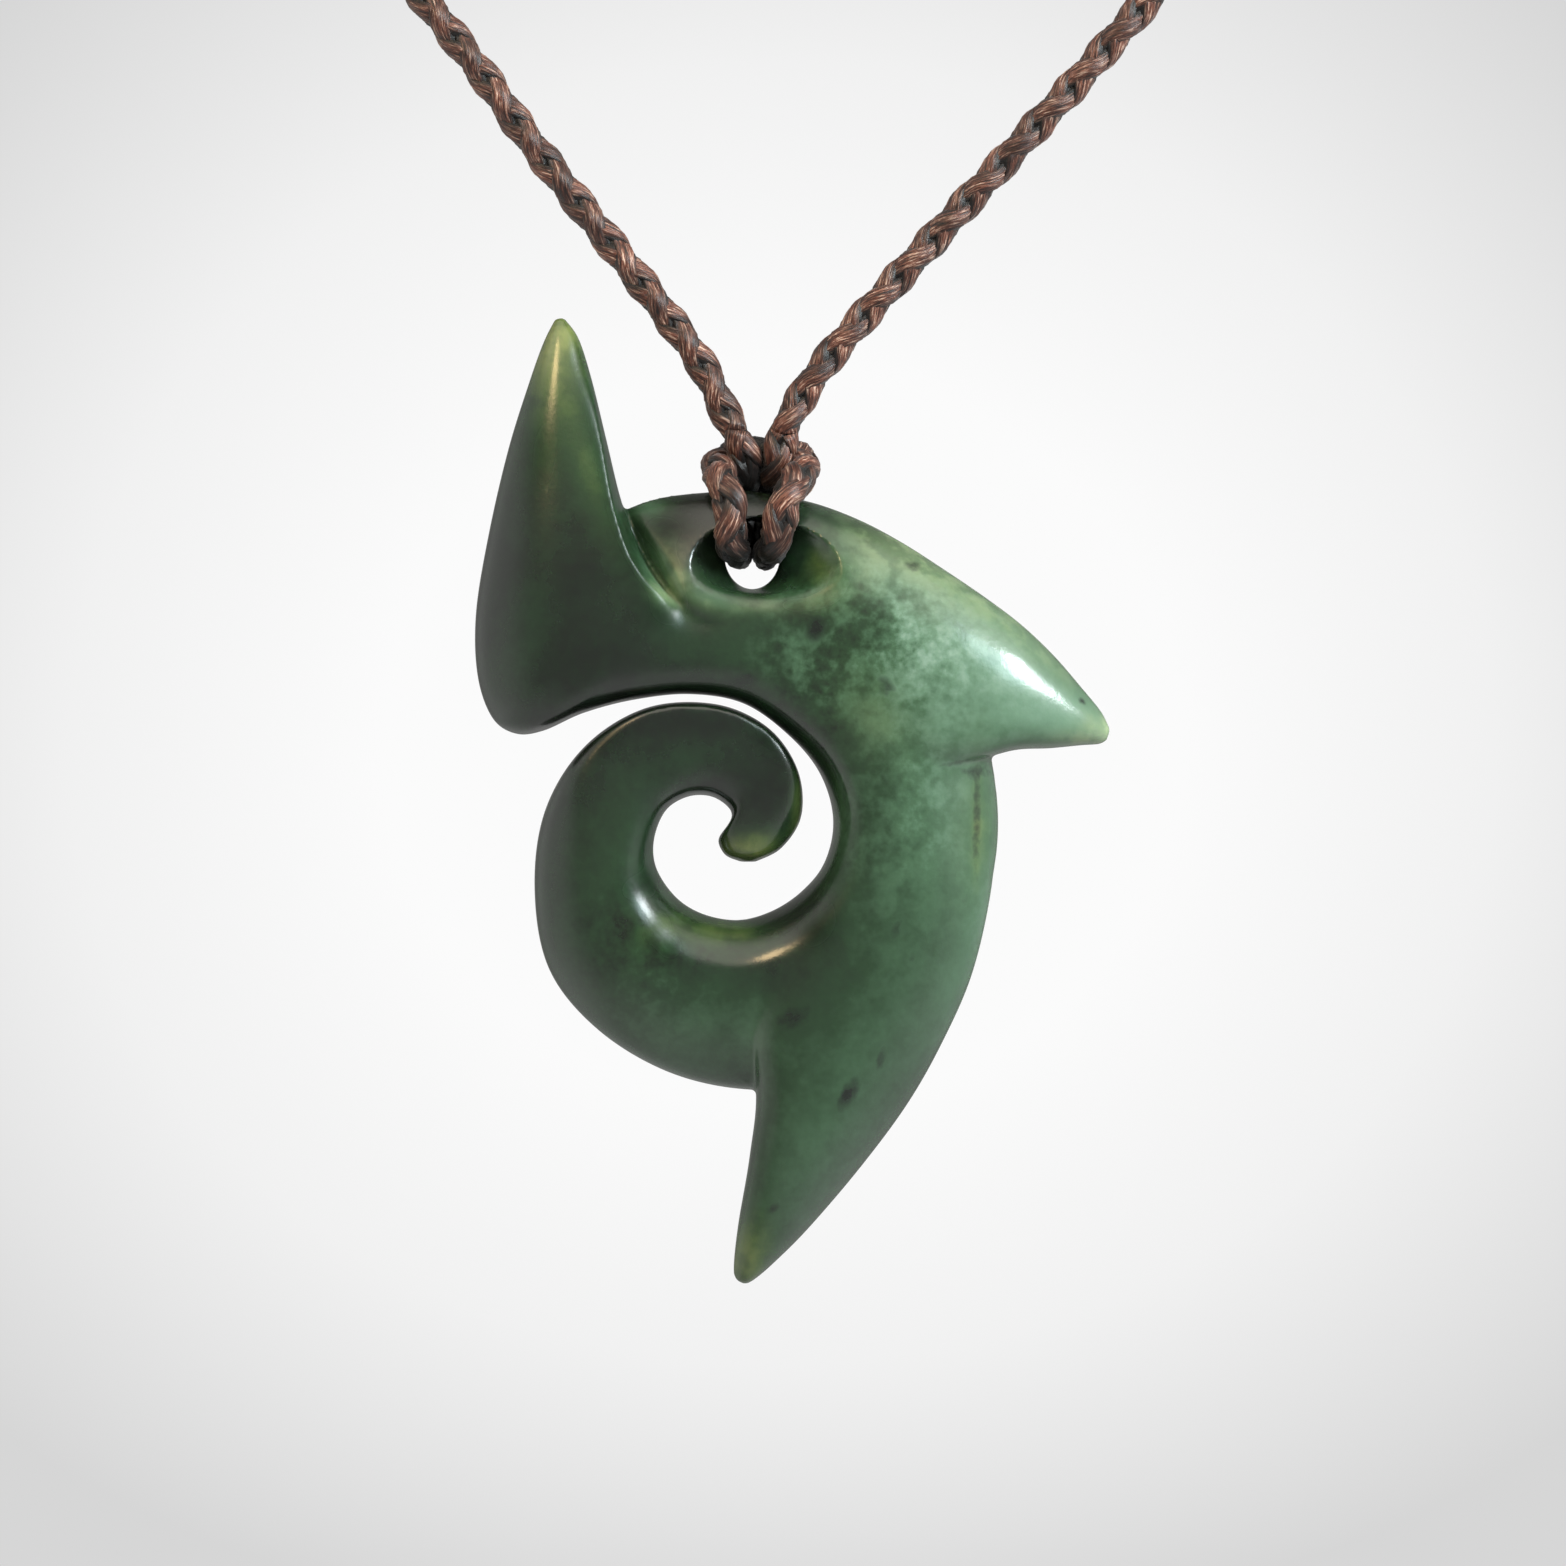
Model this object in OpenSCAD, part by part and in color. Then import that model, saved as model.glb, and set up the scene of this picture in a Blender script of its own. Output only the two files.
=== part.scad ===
// Koru pendant carved in jade, hung on a plaited cord that is hitched round the bar above its hole.
// Right-handed, millimetres, +Z up. The carved face looks along -Y, and +X is on the right of that face.
// The origin is at the nape, in the middle of the cord's wrapped join.

/* [Pendant] */
// Height of the stone, from the tip of the upper horn to the tip of the lower one
pendant_height = 66; // [66:1:70]
// Greatest thickness of the stone, front to back
pendant_thickness = 9; // [7.5:0.5:9]
// Width of the throat of the hole
hole_width = 4; // [3.9:0.1:4.3]
// Height of the throat of the hole
hole_height = 4.7; // [4.5:0.1:4.9]

/* [Cord] */
// Diameter of the plaited cord
cord_diameter = 2.3; // [2:0.1:2.3]
// Diameter of the cord where the hitch pulls it tight
hitch_diameter = 1.6; // [1.4:0.1:1.6]
// How far below the nape the hole of the stone hangs
drop = 158; // [150:1:165]
// Length of the wrapped join at the nape
wrap_length = 12; // [8:1:16]
// Diameter of the wrapped join at the nape
wrap_diameter = 4; // [3.4:0.1:5]

/* [Fineness] */
// Points on the front of a section of the stone
section_points = 12; // [8:1:14]
// Sections worked out between two rows of a table
sections_per_row = 2; // [1:1:3]
// Sides of the cord's tube
cord_sides = 8; // [8:1:12]
// Sides of the hole
hole_sides = 32; // [24:4:40]

/* [Hidden] */

JADE = "#3f6a4a";
CORD = "#5b4038";
WRAP = "#4a342e";

// Height of the stone that the tables below are drawn for.
DRAWN_HEIGHT = 66;

// Each row of the three tables below is one section across a limb of the stone:
// [edge 1 x, edge 1 z, edge 2 x, edge 2 z, half thickness, crest, shoulder 1, shoulder 2].
// x and z are measured from the middle of the hole, the crest is the share of the way from
// edge 1 to edge 2 where the section is thickest, and a shoulder is the exponent of the
// rounded side that goes down to that edge: 1 is flat, 2 an ellipse and 4 nearly square.

// First horn, bar, and the spiral band that winds in to the curled tip.
KORU = [
    [ -13.4,   16.4,  -14.0,   16.3, 0.4, 0.50, 2.0, 2.0],
    [ -12.4,   15.0,  -14.8,   14.7, 1.1, 0.50, 2.2, 2.0],
    [ -11.5,   12.2,  -15.8,   11.9, 1.9, 0.48, 3.0, 2.0],
    [ -10.5,    8.1,  -17.2,    7.4, 2.8, 0.45, 4.0, 2.0],
    [  -9.5,    4.0,  -18.5,    1.8, 3.6, 0.42, 4.0, 2.0],
    [  -8.4,    1.0,  -19.4,   -3.7, 4.1, 0.40, 4.0, 2.0],
    [  -7.4,   -0.8,  -19.3,   -8.0, 4.3, 0.40, 4.0, 2.0],
    [  -6.5,   -1.9,  -18.3,  -10.9, 4.4, 0.40, 4.0, 2.1],
    [  -5.7,   -2.7,  -16.7,  -12.0, 4.4, 0.42, 4.0, 2.2],
    [  -4.9,   -3.3,  -14.8,  -11.8, 4.3, 0.45, 4.0, 2.6],
    [  -3.7,   -3.4,  -12.1,  -10.6, 4.15, 0.48, 3.2, 3.0],
    [  -1.6,   -3.0,   -8.7,   -9.7, 4.0, 0.50, 2.6, 3.2],
    [   0.8,   -2.4,   -4.8,   -9.3, 4.0, 0.52, 2.6, 3.2],
    [   4.2,   -1.9,   -1.1,  -9.95, 4.1, 0.56, 2.4, 3.0],
    [   9.5,   -3.5,    2.0, -12.15, 4.3, 0.64, 2.2, 2.8],
    [  14.3,   -9.0,    4.1, -14.75, 4.4, 0.70, 2.0, 2.6],
    [  16.1,  -15.5,    5.0,  -17.9, 4.4, 0.72, 1.9, 2.5],
    [  16.0,  -21.3,    4.4,  -20.8, 4.4, 0.72, 2.0, 2.2],
    [  14.0,  -27.5,    2.9,  -22.7, 4.4, 0.72, 2.2, 1.8],
    [   9.9,  -32.9,    1.0,  -24.0, 4.2, 0.72, 2.2, 1.6],
    [   4.4,  -35.9,   -1.2,  -24.7, 3.9, 0.70, 2.1, 1.6],
    [  -1.0,  -36.3,   -3.3,  -24.5, 3.7, 0.68, 2.1, 1.7],
    [  -6.3,  -35.1,   -5.1,  -23.7, 3.8, 0.66, 2.1, 1.8],
    [ -11.1,  -32.2,   -6.4,  -22.4, 4.0, 0.64, 2.1, 1.9],
    [ -14.4,  -28.1,   -7.2,  -20.8, 3.9, 0.62, 2.0, 2.3],
    [ -15.4,  -22.7,   -7.2,  -19.0, 3.8, 0.60, 2.1, 3.0],
    [ -14.7,  -17.3,   -6.4,  -17.2, 3.6, 0.50, 2.4, 3.4],
    [ -12.0,  -12.9,   -4.9,  -16.3, 3.3, 0.34, 4.0, 3.2],
    [  -7.8, -10.25,   -3.3,  -16.3, 3.1, 0.28, 4.0, 2.8],
    [  -3.1,  -9.97,   -2.1,  -17.1, 2.8, 0.28, 4.0, 2.6],
    [   0.5, -11.55,   -2.0,  -17.9, 2.5, 0.30, 4.0, 2.6],
    [  2.55,  -14.4,  -2.75,  -19.0, 2.2, 0.36, 4.0, 2.4],
    [  2.85,  -17.6,   -2.8,  -19.6, 1.8, 0.50, 2.4, 2.0],
    [   1.5,  -19.8,   -2.3, -20.35, 1.3, 0.50, 2.0, 2.0],
    [  -0.3, -20.75,   -1.3, -20.75, 0.6, 0.50, 2.0, 2.0]
];

// Low ring round the hole, and the second horn that grows out of it.
RING = [
    [  -9.9,    3.1,   -8.0,   -1.6, 0.8, 0.60, 2.0, 2.0],
    [  -9.2,    3.3,   -6.9,   -2.0, 1.2, 0.62, 2.0, 2.0],
    [  -8.7,    3.5,   -6.2,   -2.6, 2.1, 0.70, 1.8, 2.0],
    [  -7.8,   3.85,   -5.5,   -3.8, 3.2, 0.74, 1.5, 2.0],
    [  -6.4,    4.2,   -4.5,   -5.2, 3.9, 0.74, 1.4, 2.0],
    [  -4.1,   4.45,   -2.9,   -6.6, 3.9, 0.74, 1.7, 2.0],
    [  -1.0,    4.6,   -1.0,   -9.0, 3.9, 0.62, 2.0, 2.0],
    [   1.7,    4.2,    0.7,  -10.2, 3.95, 0.55, 2.0, 2.0],
    [   4.2,    3.6,    3.0,  -12.0, 4.1, 0.48, 2.0, 2.0],
    [   7.0,    2.5,    5.0,  -14.2, 4.3, 0.50, 2.0, 2.0],
    [   9.8,    1.0,    8.5,  -15.5, 4.4, 0.57, 2.1, 2.4],
    [  12.6,   -0.8,   12.3,  -14.6, 4.4, 0.61, 2.2, 4.0],
    [  15.4,   -2.7,   15.6,  -13.6, 4.1, 0.63, 2.1, 4.0],
    [  17.9,   -4.6,   17.6,  -13.1, 3.6, 0.64, 2.1, 4.0],
    [  20.1,   -6.7,   19.8,  -13.0, 2.8, 0.63, 2.1, 3.0],
    [  22.0,   -8.9,   21.9,  -12.8, 1.9, 0.58, 2.0, 2.3],
    [  23.3,  -10.5,   23.2,  -12.7, 1.1, 0.54, 2.0, 2.0],
    [  23.9,  -11.7,   23.7,  -12.4, 0.5, 0.50, 2.0, 2.0]
];

// Outside of the main arc, and the third horn that it runs down into.
ARC = [
    [  13.7,   -9.7,    3.0,  -12.6, 3.8, 0.66, 2.2, 2.0],
    [  15.8,  -13.8,    4.8,  -15.8, 4.0, 0.70, 1.9, 1.9],
    [  16.1,  -17.9,    5.2,  -18.2, 4.3, 0.72, 1.9, 1.9],
    [  15.8,  -22.7,    4.7,  -21.2, 4.4, 0.72, 2.2, 1.8],
    [  14.5,  -28.4,    2.4,  -24.6, 4.4, 0.68, 2.2, 1.8],
    [  12.4,  -33.2,   -0.5,  -27.2, 4.5, 0.64, 2.1, 2.0],
    [  10.0,  -37.4,   -1.4,  -31.0, 4.4, 0.62, 2.1, 2.4],
    [   6.8,  -41.7,   -0.3,  -36.2, 4.1, 0.62, 2.0, 2.8],
    [   3.3,  -45.8,   -0.7,  -40.8, 3.3, 0.60, 2.0, 2.6],
    [   0.9,  -48.2,   -1.5,  -45.6, 2.1, 0.56, 2.0, 2.2],
    [  -0.4,  -49.3,   -1.8,  -48.6, 1.0, 0.50, 2.0, 2.0],
    [  -1.0,  -49.6,   -1.5,  -49.4, 0.4, 0.50, 2.0, 2.0]
];

// Ovals of the hole, the same on both faces:
// [depth from the middle of the stone, centre x, centre z, half width and half height more than the throat's].
HOLE = [
    [0.0,  -0.5,   0.2,  0.0, 0.0],
    [0.9,  -0.5,   0.2,  0.0, 0.0],
    [2.1,  -0.1,   0.15, 1.5, 0.15],
    [3.1,   0.2,   0.1,  2.8, 0.35],
    [3.6,   0.3,   0.0,  3.5, 0.7],
    [3.85,  0.35, -0.1,  3.9, 1.15],
    [4.0,   0.4,  -0.2,  4.3, 1.65],
    [5.2,   0.4,  -0.2,  5.0, 2.25]
];

// One half of the hitch, from under the strand, over the bar, through the hole from behind, up the
// front and round to the middle of the bridge: [x from the knot's middle, y, z from the hole's middle].
HITCH_HALF = [
    [1.15,  0.0,  6.8],
    [0.95,  0.85, 5.7],
    [0.95,  2.5,  5.0],
    [0.95,  3.85, 3.6],
    [0.95,  3.4,  1.5],
    [0.95,  1.2,  0.2],
    [0.95, -1.0,  0.2],
    [1.35, -2.7,  0.7],
    [1.65, -3.8,  2.0],
    [1.85, -4.0,  3.6],
    [2.5,  -3.0,  5.1],
    [2.85, -1.1,  5.9],
    [2.9,   0.5,  6.3],
    [2.35,  2.0,  6.9],
    [0.0,   2.7,  7.3]
];

// The right strand from the hitch up to the nape, and the left one: [x, z from the hole's middle].
RIGHT_STRAND = [
    [1.65, 8.6], [2.5, 10.4], [4.5, 13.4], [8.7, 18.3], [17.6, 28.1], [23.2, 34.3], [34, 47],
    [46, 63], [57, 83], [64, 105], [63, 127], [51, 145], [30, 155.5]
];
LEFT_STRAND = [
    [-1.7, 8.6], [-2.6, 10.4], [-4.1, 13.4], [-7.7, 18.3], [-15.4, 28.1], [-19.9, 34.3], [-30, 47],
    [-43, 63], [-55, 83], [-63, 105], [-62, 127], [-50, 145], [-30, 155.5]
];

// The knot leans a little: its middle is at knot_x at the height knot_z, and each millimetre up
// moves it by knot_lean.
knot_x = -0.2;
knot_z = 3.6;
knot_lean = 0.1;
// Rings of a strand's tube to each point of its route.
strand_rings = 2;

growth = pendant_height / DRAWN_HEIGHT;

// Point at share t of the way from b to c on the smooth curve through a, b, c and d.
function on_curve(a, b, c, d, t) =
    b + ((c - a) * t + (2 * a - 5 * b + 4 * c - d) * t * t + (3 * b - a - 3 * c + d) * t * t * t) / 2;

// Rows with new ones worked out between them, steps to each gap.
function refined(rows, steps) =
    let (last = len(rows) - 1)
    [
        for (i = [0:last - 1], k = [0:steps - 1])
            on_curve(rows[max(i - 1, 0)], rows[i], rows[i + 1], rows[min(i + 2, last)], k / steps),
        rows[last]
    ];

// Ring of points round one section: from edge 1 over the front to edge 2, and home behind.
function section(row) = [
    for (i = [0:2 * section_points - 1])
        let (
            angle = 180 * i / section_points,
            near_first = cos(angle) > 0,
            shoulder = near_first ? row[6] : row[7],
            out = pow(abs(cos(angle)), 2 / shoulder),
            along = near_first ? row[5] * (1 - out) : row[5] + (1 - row[5]) * out,
            depth = row[4] * pow(abs(sin(angle)), 2 / shoulder)
        )
        [
            row[0] + (row[2] - row[0]) * along,
            sin(angle) > 0 ? -depth : depth,
            row[1] + (row[3] - row[1]) * along
        ]
];

// Closed skin over a list of rings that have the same number of points.
module skin(rings) {
    sides = len(rings[0]);
    last = len(rings) - 1;
    points = [for (ring = rings, point = ring) point];
    faces = [
        [for (j = [0:sides - 1]) j],
        for (i = [0:last - 1], j = [0:sides - 1])
            [i * sides + (j + 1) % sides, i * sides + j, (i + 1) * sides + j],
        for (i = [0:last - 1], j = [0:sides - 1])
            [i * sides + (j + 1) % sides, (i + 1) * sides + j, (i + 1) * sides + (j + 1) % sides],
        [for (j = [sides - 1:-1:0]) last * sides + j]
    ];
    polyhedron(points, faces, convexity = 6);
}

// Limb of the stone over one of the tables.
module limb(rows) {
    skin([for (row = refined(rows, sections_per_row)) section(row)]);
}

function unit(v) = v / norm(v);

// The part of v square to the unit vector t, as a unit vector.
function squared(v, t) = unit(v - (v * t) * t);

// Rings of a tube along points, square to the path, with the given directions at its two ends.
function tube_rings(points, diameter, start, end) =
    let (
        last = len(points) - 1,
        along = [
            for (i = [0:last])
                i == 0 ? unit(start) : i == last ? unit(end) : unit(points[i + 1] - points[i - 1])
        ],
        across = [
            for (
                i = 0, n = squared([0.1, 1, 0.1], along[0]);
                i <= last;
                i = i + 1, n = i <= last ? squared(n, along[i]) : n
            ) n
        ]
    )
    [
        for (i = [0:last]) [
            for (j = [0:cord_sides - 1])
                let (turn = 360 * j / cord_sides)
                points[i] + (cos(turn) * across[i] + sin(turn) * cross(along[i], across[i])) * diameter / 2
        ]
    ];

function in_place(x, y, z) = [x, y, z - drop];

// Point of the hitch on its right half, for side 1, or on its left half, for side -1.
function knot_point(p, side) =
    in_place(knot_x + knot_lean * (p[2] - knot_z) + side * p[0], p[1], p[2] * growth);

// First point of a strand, where the hitch ends, and the way that the strand leaves it.
function strand_start(strand) = in_place(strand[0][0], 0, strand[0][1] * growth);
function strand_lean(strand) = unit(in_place(strand[1][0], 0, strand[1][1]) - strand_start(strand));

// Funnelled hole, as a stack of ovals through the stone.
module hole() {
    last = len(HOLE) - 1;
    skin([
        for (i = [-last:last])
            let (
                row = HOLE[abs(i)],
                wide = hole_width / 2 + row[3],
                high = hole_height / 2 + row[4]
            )
            [
                for (j = [0:hole_sides - 1])
                    let (turn = 360 * j / hole_sides)
                    [row[1] + wide * cos(turn), sign(i) * row[0], row[2] - high * sin(turn)]
            ]
    ]);
}

module pendant() {
    color(JADE)
    translate([0, 0, -drop])
    resize([0, pendant_thickness, 0])
    difference() {
        scale([growth, 1, growth]) {
            limb(KORU);
            limb(RING);
            limb(ARC);
        }
        hole();
    }
}

module cord_hitch() {
    last = len(HITCH_HALF) - 1;
    route = [
        strand_start(RIGHT_STRAND),
        for (p = HITCH_HALF) knot_point(p, 1),
        for (i = [last - 1:-1:0]) knot_point(HITCH_HALF[i], -1),
        strand_start(LEFT_STRAND)
    ];
    color(CORD)
    skin(tube_rings(route, hitch_diameter, -strand_lean(RIGHT_STRAND), strand_lean(LEFT_STRAND)));
}

// A strand from its end of the hitch to the wrapped join.
module strand(points, side) {
    route = [
        strand_start(points),
        for (i = [1:len(points) - 1]) in_place(points[i][0], 0, points[i][1]),
        [side * wrap_length / 2, 0, 0]
    ];
    color(CORD)
    skin(tube_rings(refined(route, strand_rings), cord_diameter, strand_lean(points), [-side, 0, 0]));
}

module cord_right() {
    strand(RIGHT_STRAND, 1);
}

module cord_left() {
    strand(LEFT_STRAND, -1);
}

// Wrapped join: a short round sleeve with eased ends.
module nape_wrap() {
    ease = 0.5;
    outer = wrap_diameter / 2;
    half = wrap_length / 2;
    color(WRAP)
    rotate([0, 90, 0])
    rotate_extrude($fn = 48)
    polygon([
        [0, -half], [outer - ease, -half], [outer, ease - half],
        [outer, half - ease], [outer - ease, half], [0, half]
    ]);
}

pendant();
cord_hitch();
cord_left();
cord_right();
nape_wrap();
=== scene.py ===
# %% [markdown]
# # A jade koru pendant on a plaited cord
#
# The real object is one piece of nephrite jade, sawn, ground and polished by hand into a koru, the spiral of
# an unrolling fern frond, with three pointed horns. A waxed cord plaited from four strands is hitched round
# the bar above the hole, and the loop that it makes goes round the wearer's neck.
#
# This notebook builds what the eye sees of it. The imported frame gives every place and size: the stone, the
# hitch, the two sides of the cord and the wrapped join at the nape are each made afresh where their plain
# solids lie, as surfaces that numpy works out on a grid.

# %% Load the frame and keep its box
import math

import bpy
import numpy as np
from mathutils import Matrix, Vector


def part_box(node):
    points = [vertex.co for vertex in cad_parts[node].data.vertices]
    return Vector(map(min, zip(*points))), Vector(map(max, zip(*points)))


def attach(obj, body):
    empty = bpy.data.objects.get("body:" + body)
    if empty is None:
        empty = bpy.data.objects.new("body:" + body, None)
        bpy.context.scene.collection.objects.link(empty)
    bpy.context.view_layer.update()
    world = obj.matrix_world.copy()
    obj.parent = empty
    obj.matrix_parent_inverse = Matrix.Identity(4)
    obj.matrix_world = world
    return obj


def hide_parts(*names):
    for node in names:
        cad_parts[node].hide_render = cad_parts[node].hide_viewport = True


MM = 0.001
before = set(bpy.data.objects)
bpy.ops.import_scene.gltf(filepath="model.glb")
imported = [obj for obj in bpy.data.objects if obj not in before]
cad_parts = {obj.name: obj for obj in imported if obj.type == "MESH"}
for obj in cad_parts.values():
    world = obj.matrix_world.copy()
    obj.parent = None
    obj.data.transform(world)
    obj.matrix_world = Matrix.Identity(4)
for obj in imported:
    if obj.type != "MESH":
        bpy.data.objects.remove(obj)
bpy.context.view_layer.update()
stone_low, stone_high = (np.array(corner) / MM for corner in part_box("pendant"))

# The middle of the stone's hole is the point that the tables below measure from.
TOP_OVER_HOLE = 16.4
hole_z = float(stone_high[2]) - TOP_OVER_HOLE
print(f"stone {stone_high - stone_low} mm, hole {-hole_z:.1f} mm below the nape")

# %% [markdown]
# ## The camera
#
# A product photograph like this one is taken square on with a long lens, so that the near horn is not
# swollen by perspective. A real distance and a real field of view give the same picture: the photograph is
# 1566 pixels wide, and the stone, 66 mm high, covers 966 of them.

# %% Camera at the photograph's angle
PHOTO_SIDE = 1566
STONE_ROWS = 966
STONE_HEIGHT = 66.0
PLUMB_COLUMN = 760
HOLE_ROW = 558
CAMERA_DISTANCE = 600.0
SENSOR = 36.0

mm_per_pixel = STONE_HEIGHT / STONE_ROWS
field = PHOTO_SIDE * mm_per_pixel
view_x = (PHOTO_SIDE / 2 - PLUMB_COLUMN) * mm_per_pixel
view_z = hole_z - (PHOTO_SIDE / 2 - HOLE_ROW) * mm_per_pixel

camera_data = bpy.data.cameras.new("camera")
camera_data.sensor_width = SENSOR
camera_data.lens = SENSOR * CAMERA_DISTANCE / field
camera = bpy.data.objects.new("camera", camera_data)
camera.location = (view_x * MM, -CAMERA_DISTANCE * MM, view_z * MM)
camera.rotation_euler = (math.radians(90), 0, 0)
bpy.context.scene.collection.objects.link(camera)
bpy.context.scene.camera = camera
bpy.context.scene.view_settings.view_transform = "Standard"
print(f"field {field:.1f} mm wide, lens {camera_data.lens:.0f} mm")

# %% [markdown]
# ## Small tools
#
# Every surface here is a grid of points: rows along a path or an axis, and columns round it. One function
# turns such a grid into a closed mesh, with its two ends filled. Another draws a smooth curve through a few
# chosen rows, so that a short table is enough to shape a horn.

# %% Curves and skins
def on_curve(rows, steps):
    """Rows with steps to each gap, on the Catmull-Rom curve through them:
    b + ((c - a) t + (2a - 5b + 4c - d) t^2 + (3b - a - 3c + d) t^3) / 2 between rows b and c."""
    rows = np.asarray(rows, float)
    padded = np.vstack([rows[:1], rows, rows[-1:]])
    a, b, c, d = (padded[k:len(padded) - 3 + k, None] for k in range(4))
    t = (np.arange(steps) / steps)[None, :, None]
    curve = b + ((c - a) * t + (2 * a - 5 * b + 4 * c - d) * t**2 + (3 * b - a - 3 * c + d) * t**3) / 2
    return np.vstack([curve.reshape(-1, rows.shape[1]), rows[-1:]])


def unit(vectors):
    """Vectors divided by their lengths."""
    return vectors / np.linalg.norm(vectors, axis=-1, keepdims=True)


def skin(name, grids, attributes=None):
    """Mesh object over grids of points in millimetres, shaped (grids, rows, columns, 3). Column j meets
    j + 1 and the last meets the first; the first and last rows of each grid are filled. An attribute has
    three numbers or one to a point."""
    grids = np.asarray(grids, float)
    if grids.ndim == 3:
        grids = grids[None]
    count, rows, columns = grids.shape[:3]
    index = np.arange(count * rows * columns).reshape(count, rows, columns)
    ahead = np.roll(index, -1, axis=2)
    quads = np.stack([index[:, :-1], ahead[:, :-1], ahead[:, 1:], index[:, 1:]], axis=-1).reshape(-1, 4)
    ends = np.vstack([index[:, 0, ::-1], index[:, -1]])
    mesh = bpy.data.meshes.new(name)
    mesh.from_pydata((grids.reshape(-1, 3) * MM).tolist(), [], quads.tolist() + ends.tolist())
    for attribute, values in (attributes or {}).items():
        values = np.asarray(values, np.float32)
        single = values.size * 3 == grids.size
        layer = mesh.attributes.new(attribute, "FLOAT" if single else "FLOAT_VECTOR", "POINT")
        layer.data.foreach_set("value" if single else "vector", values.ravel())
    mesh.shade_smooth()
    piece = bpy.data.objects.new(name, mesh)
    bpy.context.scene.collection.objects.link(piece)
    return piece


def vertices_of(mesh):
    """A mesh's points, in millimetres."""
    points = np.empty(len(mesh.vertices) * 3)
    mesh.vertices.foreach_get("co", points)
    return points.reshape(-1, 3) / MM


def faces_in(piece):
    return len(piece.data.polygons)


# %% [markdown]
# ## Colours and shader nodes
#
# Colours are written as the sRGB hex values that a picture shows, and one function turns them into the
# linear light that a shader works in. Another adds a node with its settings and links and hands back the
# output that the next node needs, so that a material reads as a list of what feeds what.

# %% Colour and node helpers
def linear(code):
    """Linear RGBA of an sRGB hex colour: c / 12.92 under 0.04045, else ((c + 0.055) / 1.055)^2.4."""
    values = np.array([int(code[k:k + 2], 16) for k in (1, 3, 5)]) / 255
    light = np.where(values <= 0.04045, values / 12.92, ((values + 0.055) / 1.055) ** 2.4)
    return (*light.tolist(), 1.0)


# Where a Mix node that works on colours takes its factor and its two colours, and gives the result.
FACTOR, UNDER, OVER, MIXED = 0, 6, 7, 2


def feed(tree, node, feeds):
    """Gives each input in feeds, by name or number, its value or the output that drives it."""
    for socket, value in feeds.items():
        if isinstance(value, bpy.types.NodeSocket):
            tree.links.new(value, node.inputs[socket])
        else:
            node.inputs[socket].default_value = value


def add(tree, kind, feeds=None, out=0, stops=(), **settings):
    """Output of a new node of that kind, with its inputs fed. Stops are a ramp's (place, hex colour) pairs,
    and settings are the node's own properties."""
    node = tree.nodes.new("ShaderNode" + kind)
    for name, value in settings.items():
        setattr(node, name, value)
    feed(tree, node, feeds or {})
    for _ in stops[2:]:
        node.color_ramp.elements.new(0.5)
    for k, (place, code) in enumerate(stops):
        node.color_ramp.elements[k].position = place
        node.color_ramp.elements[k].color = linear(code)
    return node.outputs[out]


def new_material(name):
    """Empty material with its Principled shader wired to the output: (material, tree, shader)."""
    material = bpy.data.materials.new(name)
    material.use_nodes = True
    tree = material.node_tree
    return material, tree, tree.nodes["Principled BSDF"]


# %% [markdown]
# ## The route of the cord
#
# The cord is one length. From the nape it comes down the left side, ties a lark's head hitch round the bar
# of the stone, and goes back up the right side. Its route is a short list of given points, the same
# as the plain tubes follow, and a smooth curve runs through them.
#
# A plait has to know which way is out all along its path. The plain way is to carry one direction along and
# turn it as little as possible. That can be done on whole arrays: take any direction square to the path,
# measure how much each step turns it too far, and take the running sum of those turns off again.

# %% Points of the route
# One half of the hitch, from the strand back over the bar, down behind it, forward through the hole, up the
# front and round to the middle of the bridge: [x from the knot's middle, y, z from the hole's middle].
HITCH_HALF = np.array([
    [1.15, 0, 6.8],
    [0.95, 0.85, 5.7],
    [0.95, 2.5, 5],
    [0.95, 3.85, 3.6],
    [0.95, 3.4, 1.5],
    [0.95, 1.2, 0.2],
    [0.95, -1, 0.2],
    [1.35, -2.7, 0.7],
    [1.65, -3.8, 2],
    [1.85, -4, 3.6],
    [2.5, -3, 5.1],
    [2.85, -1.1, 5.9],
    [2.9, 0.5, 6.3],
    [2.35, 2, 6.9],
    [0, 2.7, 7.3],
])
# The two strands from the hitch up to the nape: [x, z from the hole's middle].
RIGHT_STRAND = np.array([
    [1.65, 8.6], [2.5, 10.4], [4.5, 13.4], [8.7, 18.3], [17.6, 28.1], [23.2, 34.3], [34, 47],
    [46, 63], [57, 83], [64, 105], [63, 127], [51, 145], [30, 155.5],
])
LEFT_STRAND = np.array([
    [-1.7, 8.6], [-2.6, 10.4], [-4.1, 13.4], [-7.7, 18.3], [-15.4, 28.1], [-19.9, 34.3], [-30, 47],
    [-43, 63], [-55, 83], [-63, 105], [-62, 127], [-50, 145], [-30, 155.5],
])
# The knot leans a little: its middle is at KNOT_X at the height KNOT_Z, and each millimetre up moves it by
# KNOT_LEAN.
KNOT_X = -0.2
KNOT_Z = 3.6
KNOT_LEAN = 0.1
CORD_DIAMETER = 2.3
HITCH_DIAMETER = 2.5
THROAT_DIAMETER = 1.9
WRAP_LENGTH = 12.0
RING_SPACING = 0.33


def flat_points(pairs):
    """Points of a strand in the plane y = 0."""
    return np.column_stack([pairs[:, 0], np.zeros(len(pairs)), pairs[:, 1]])


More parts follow.
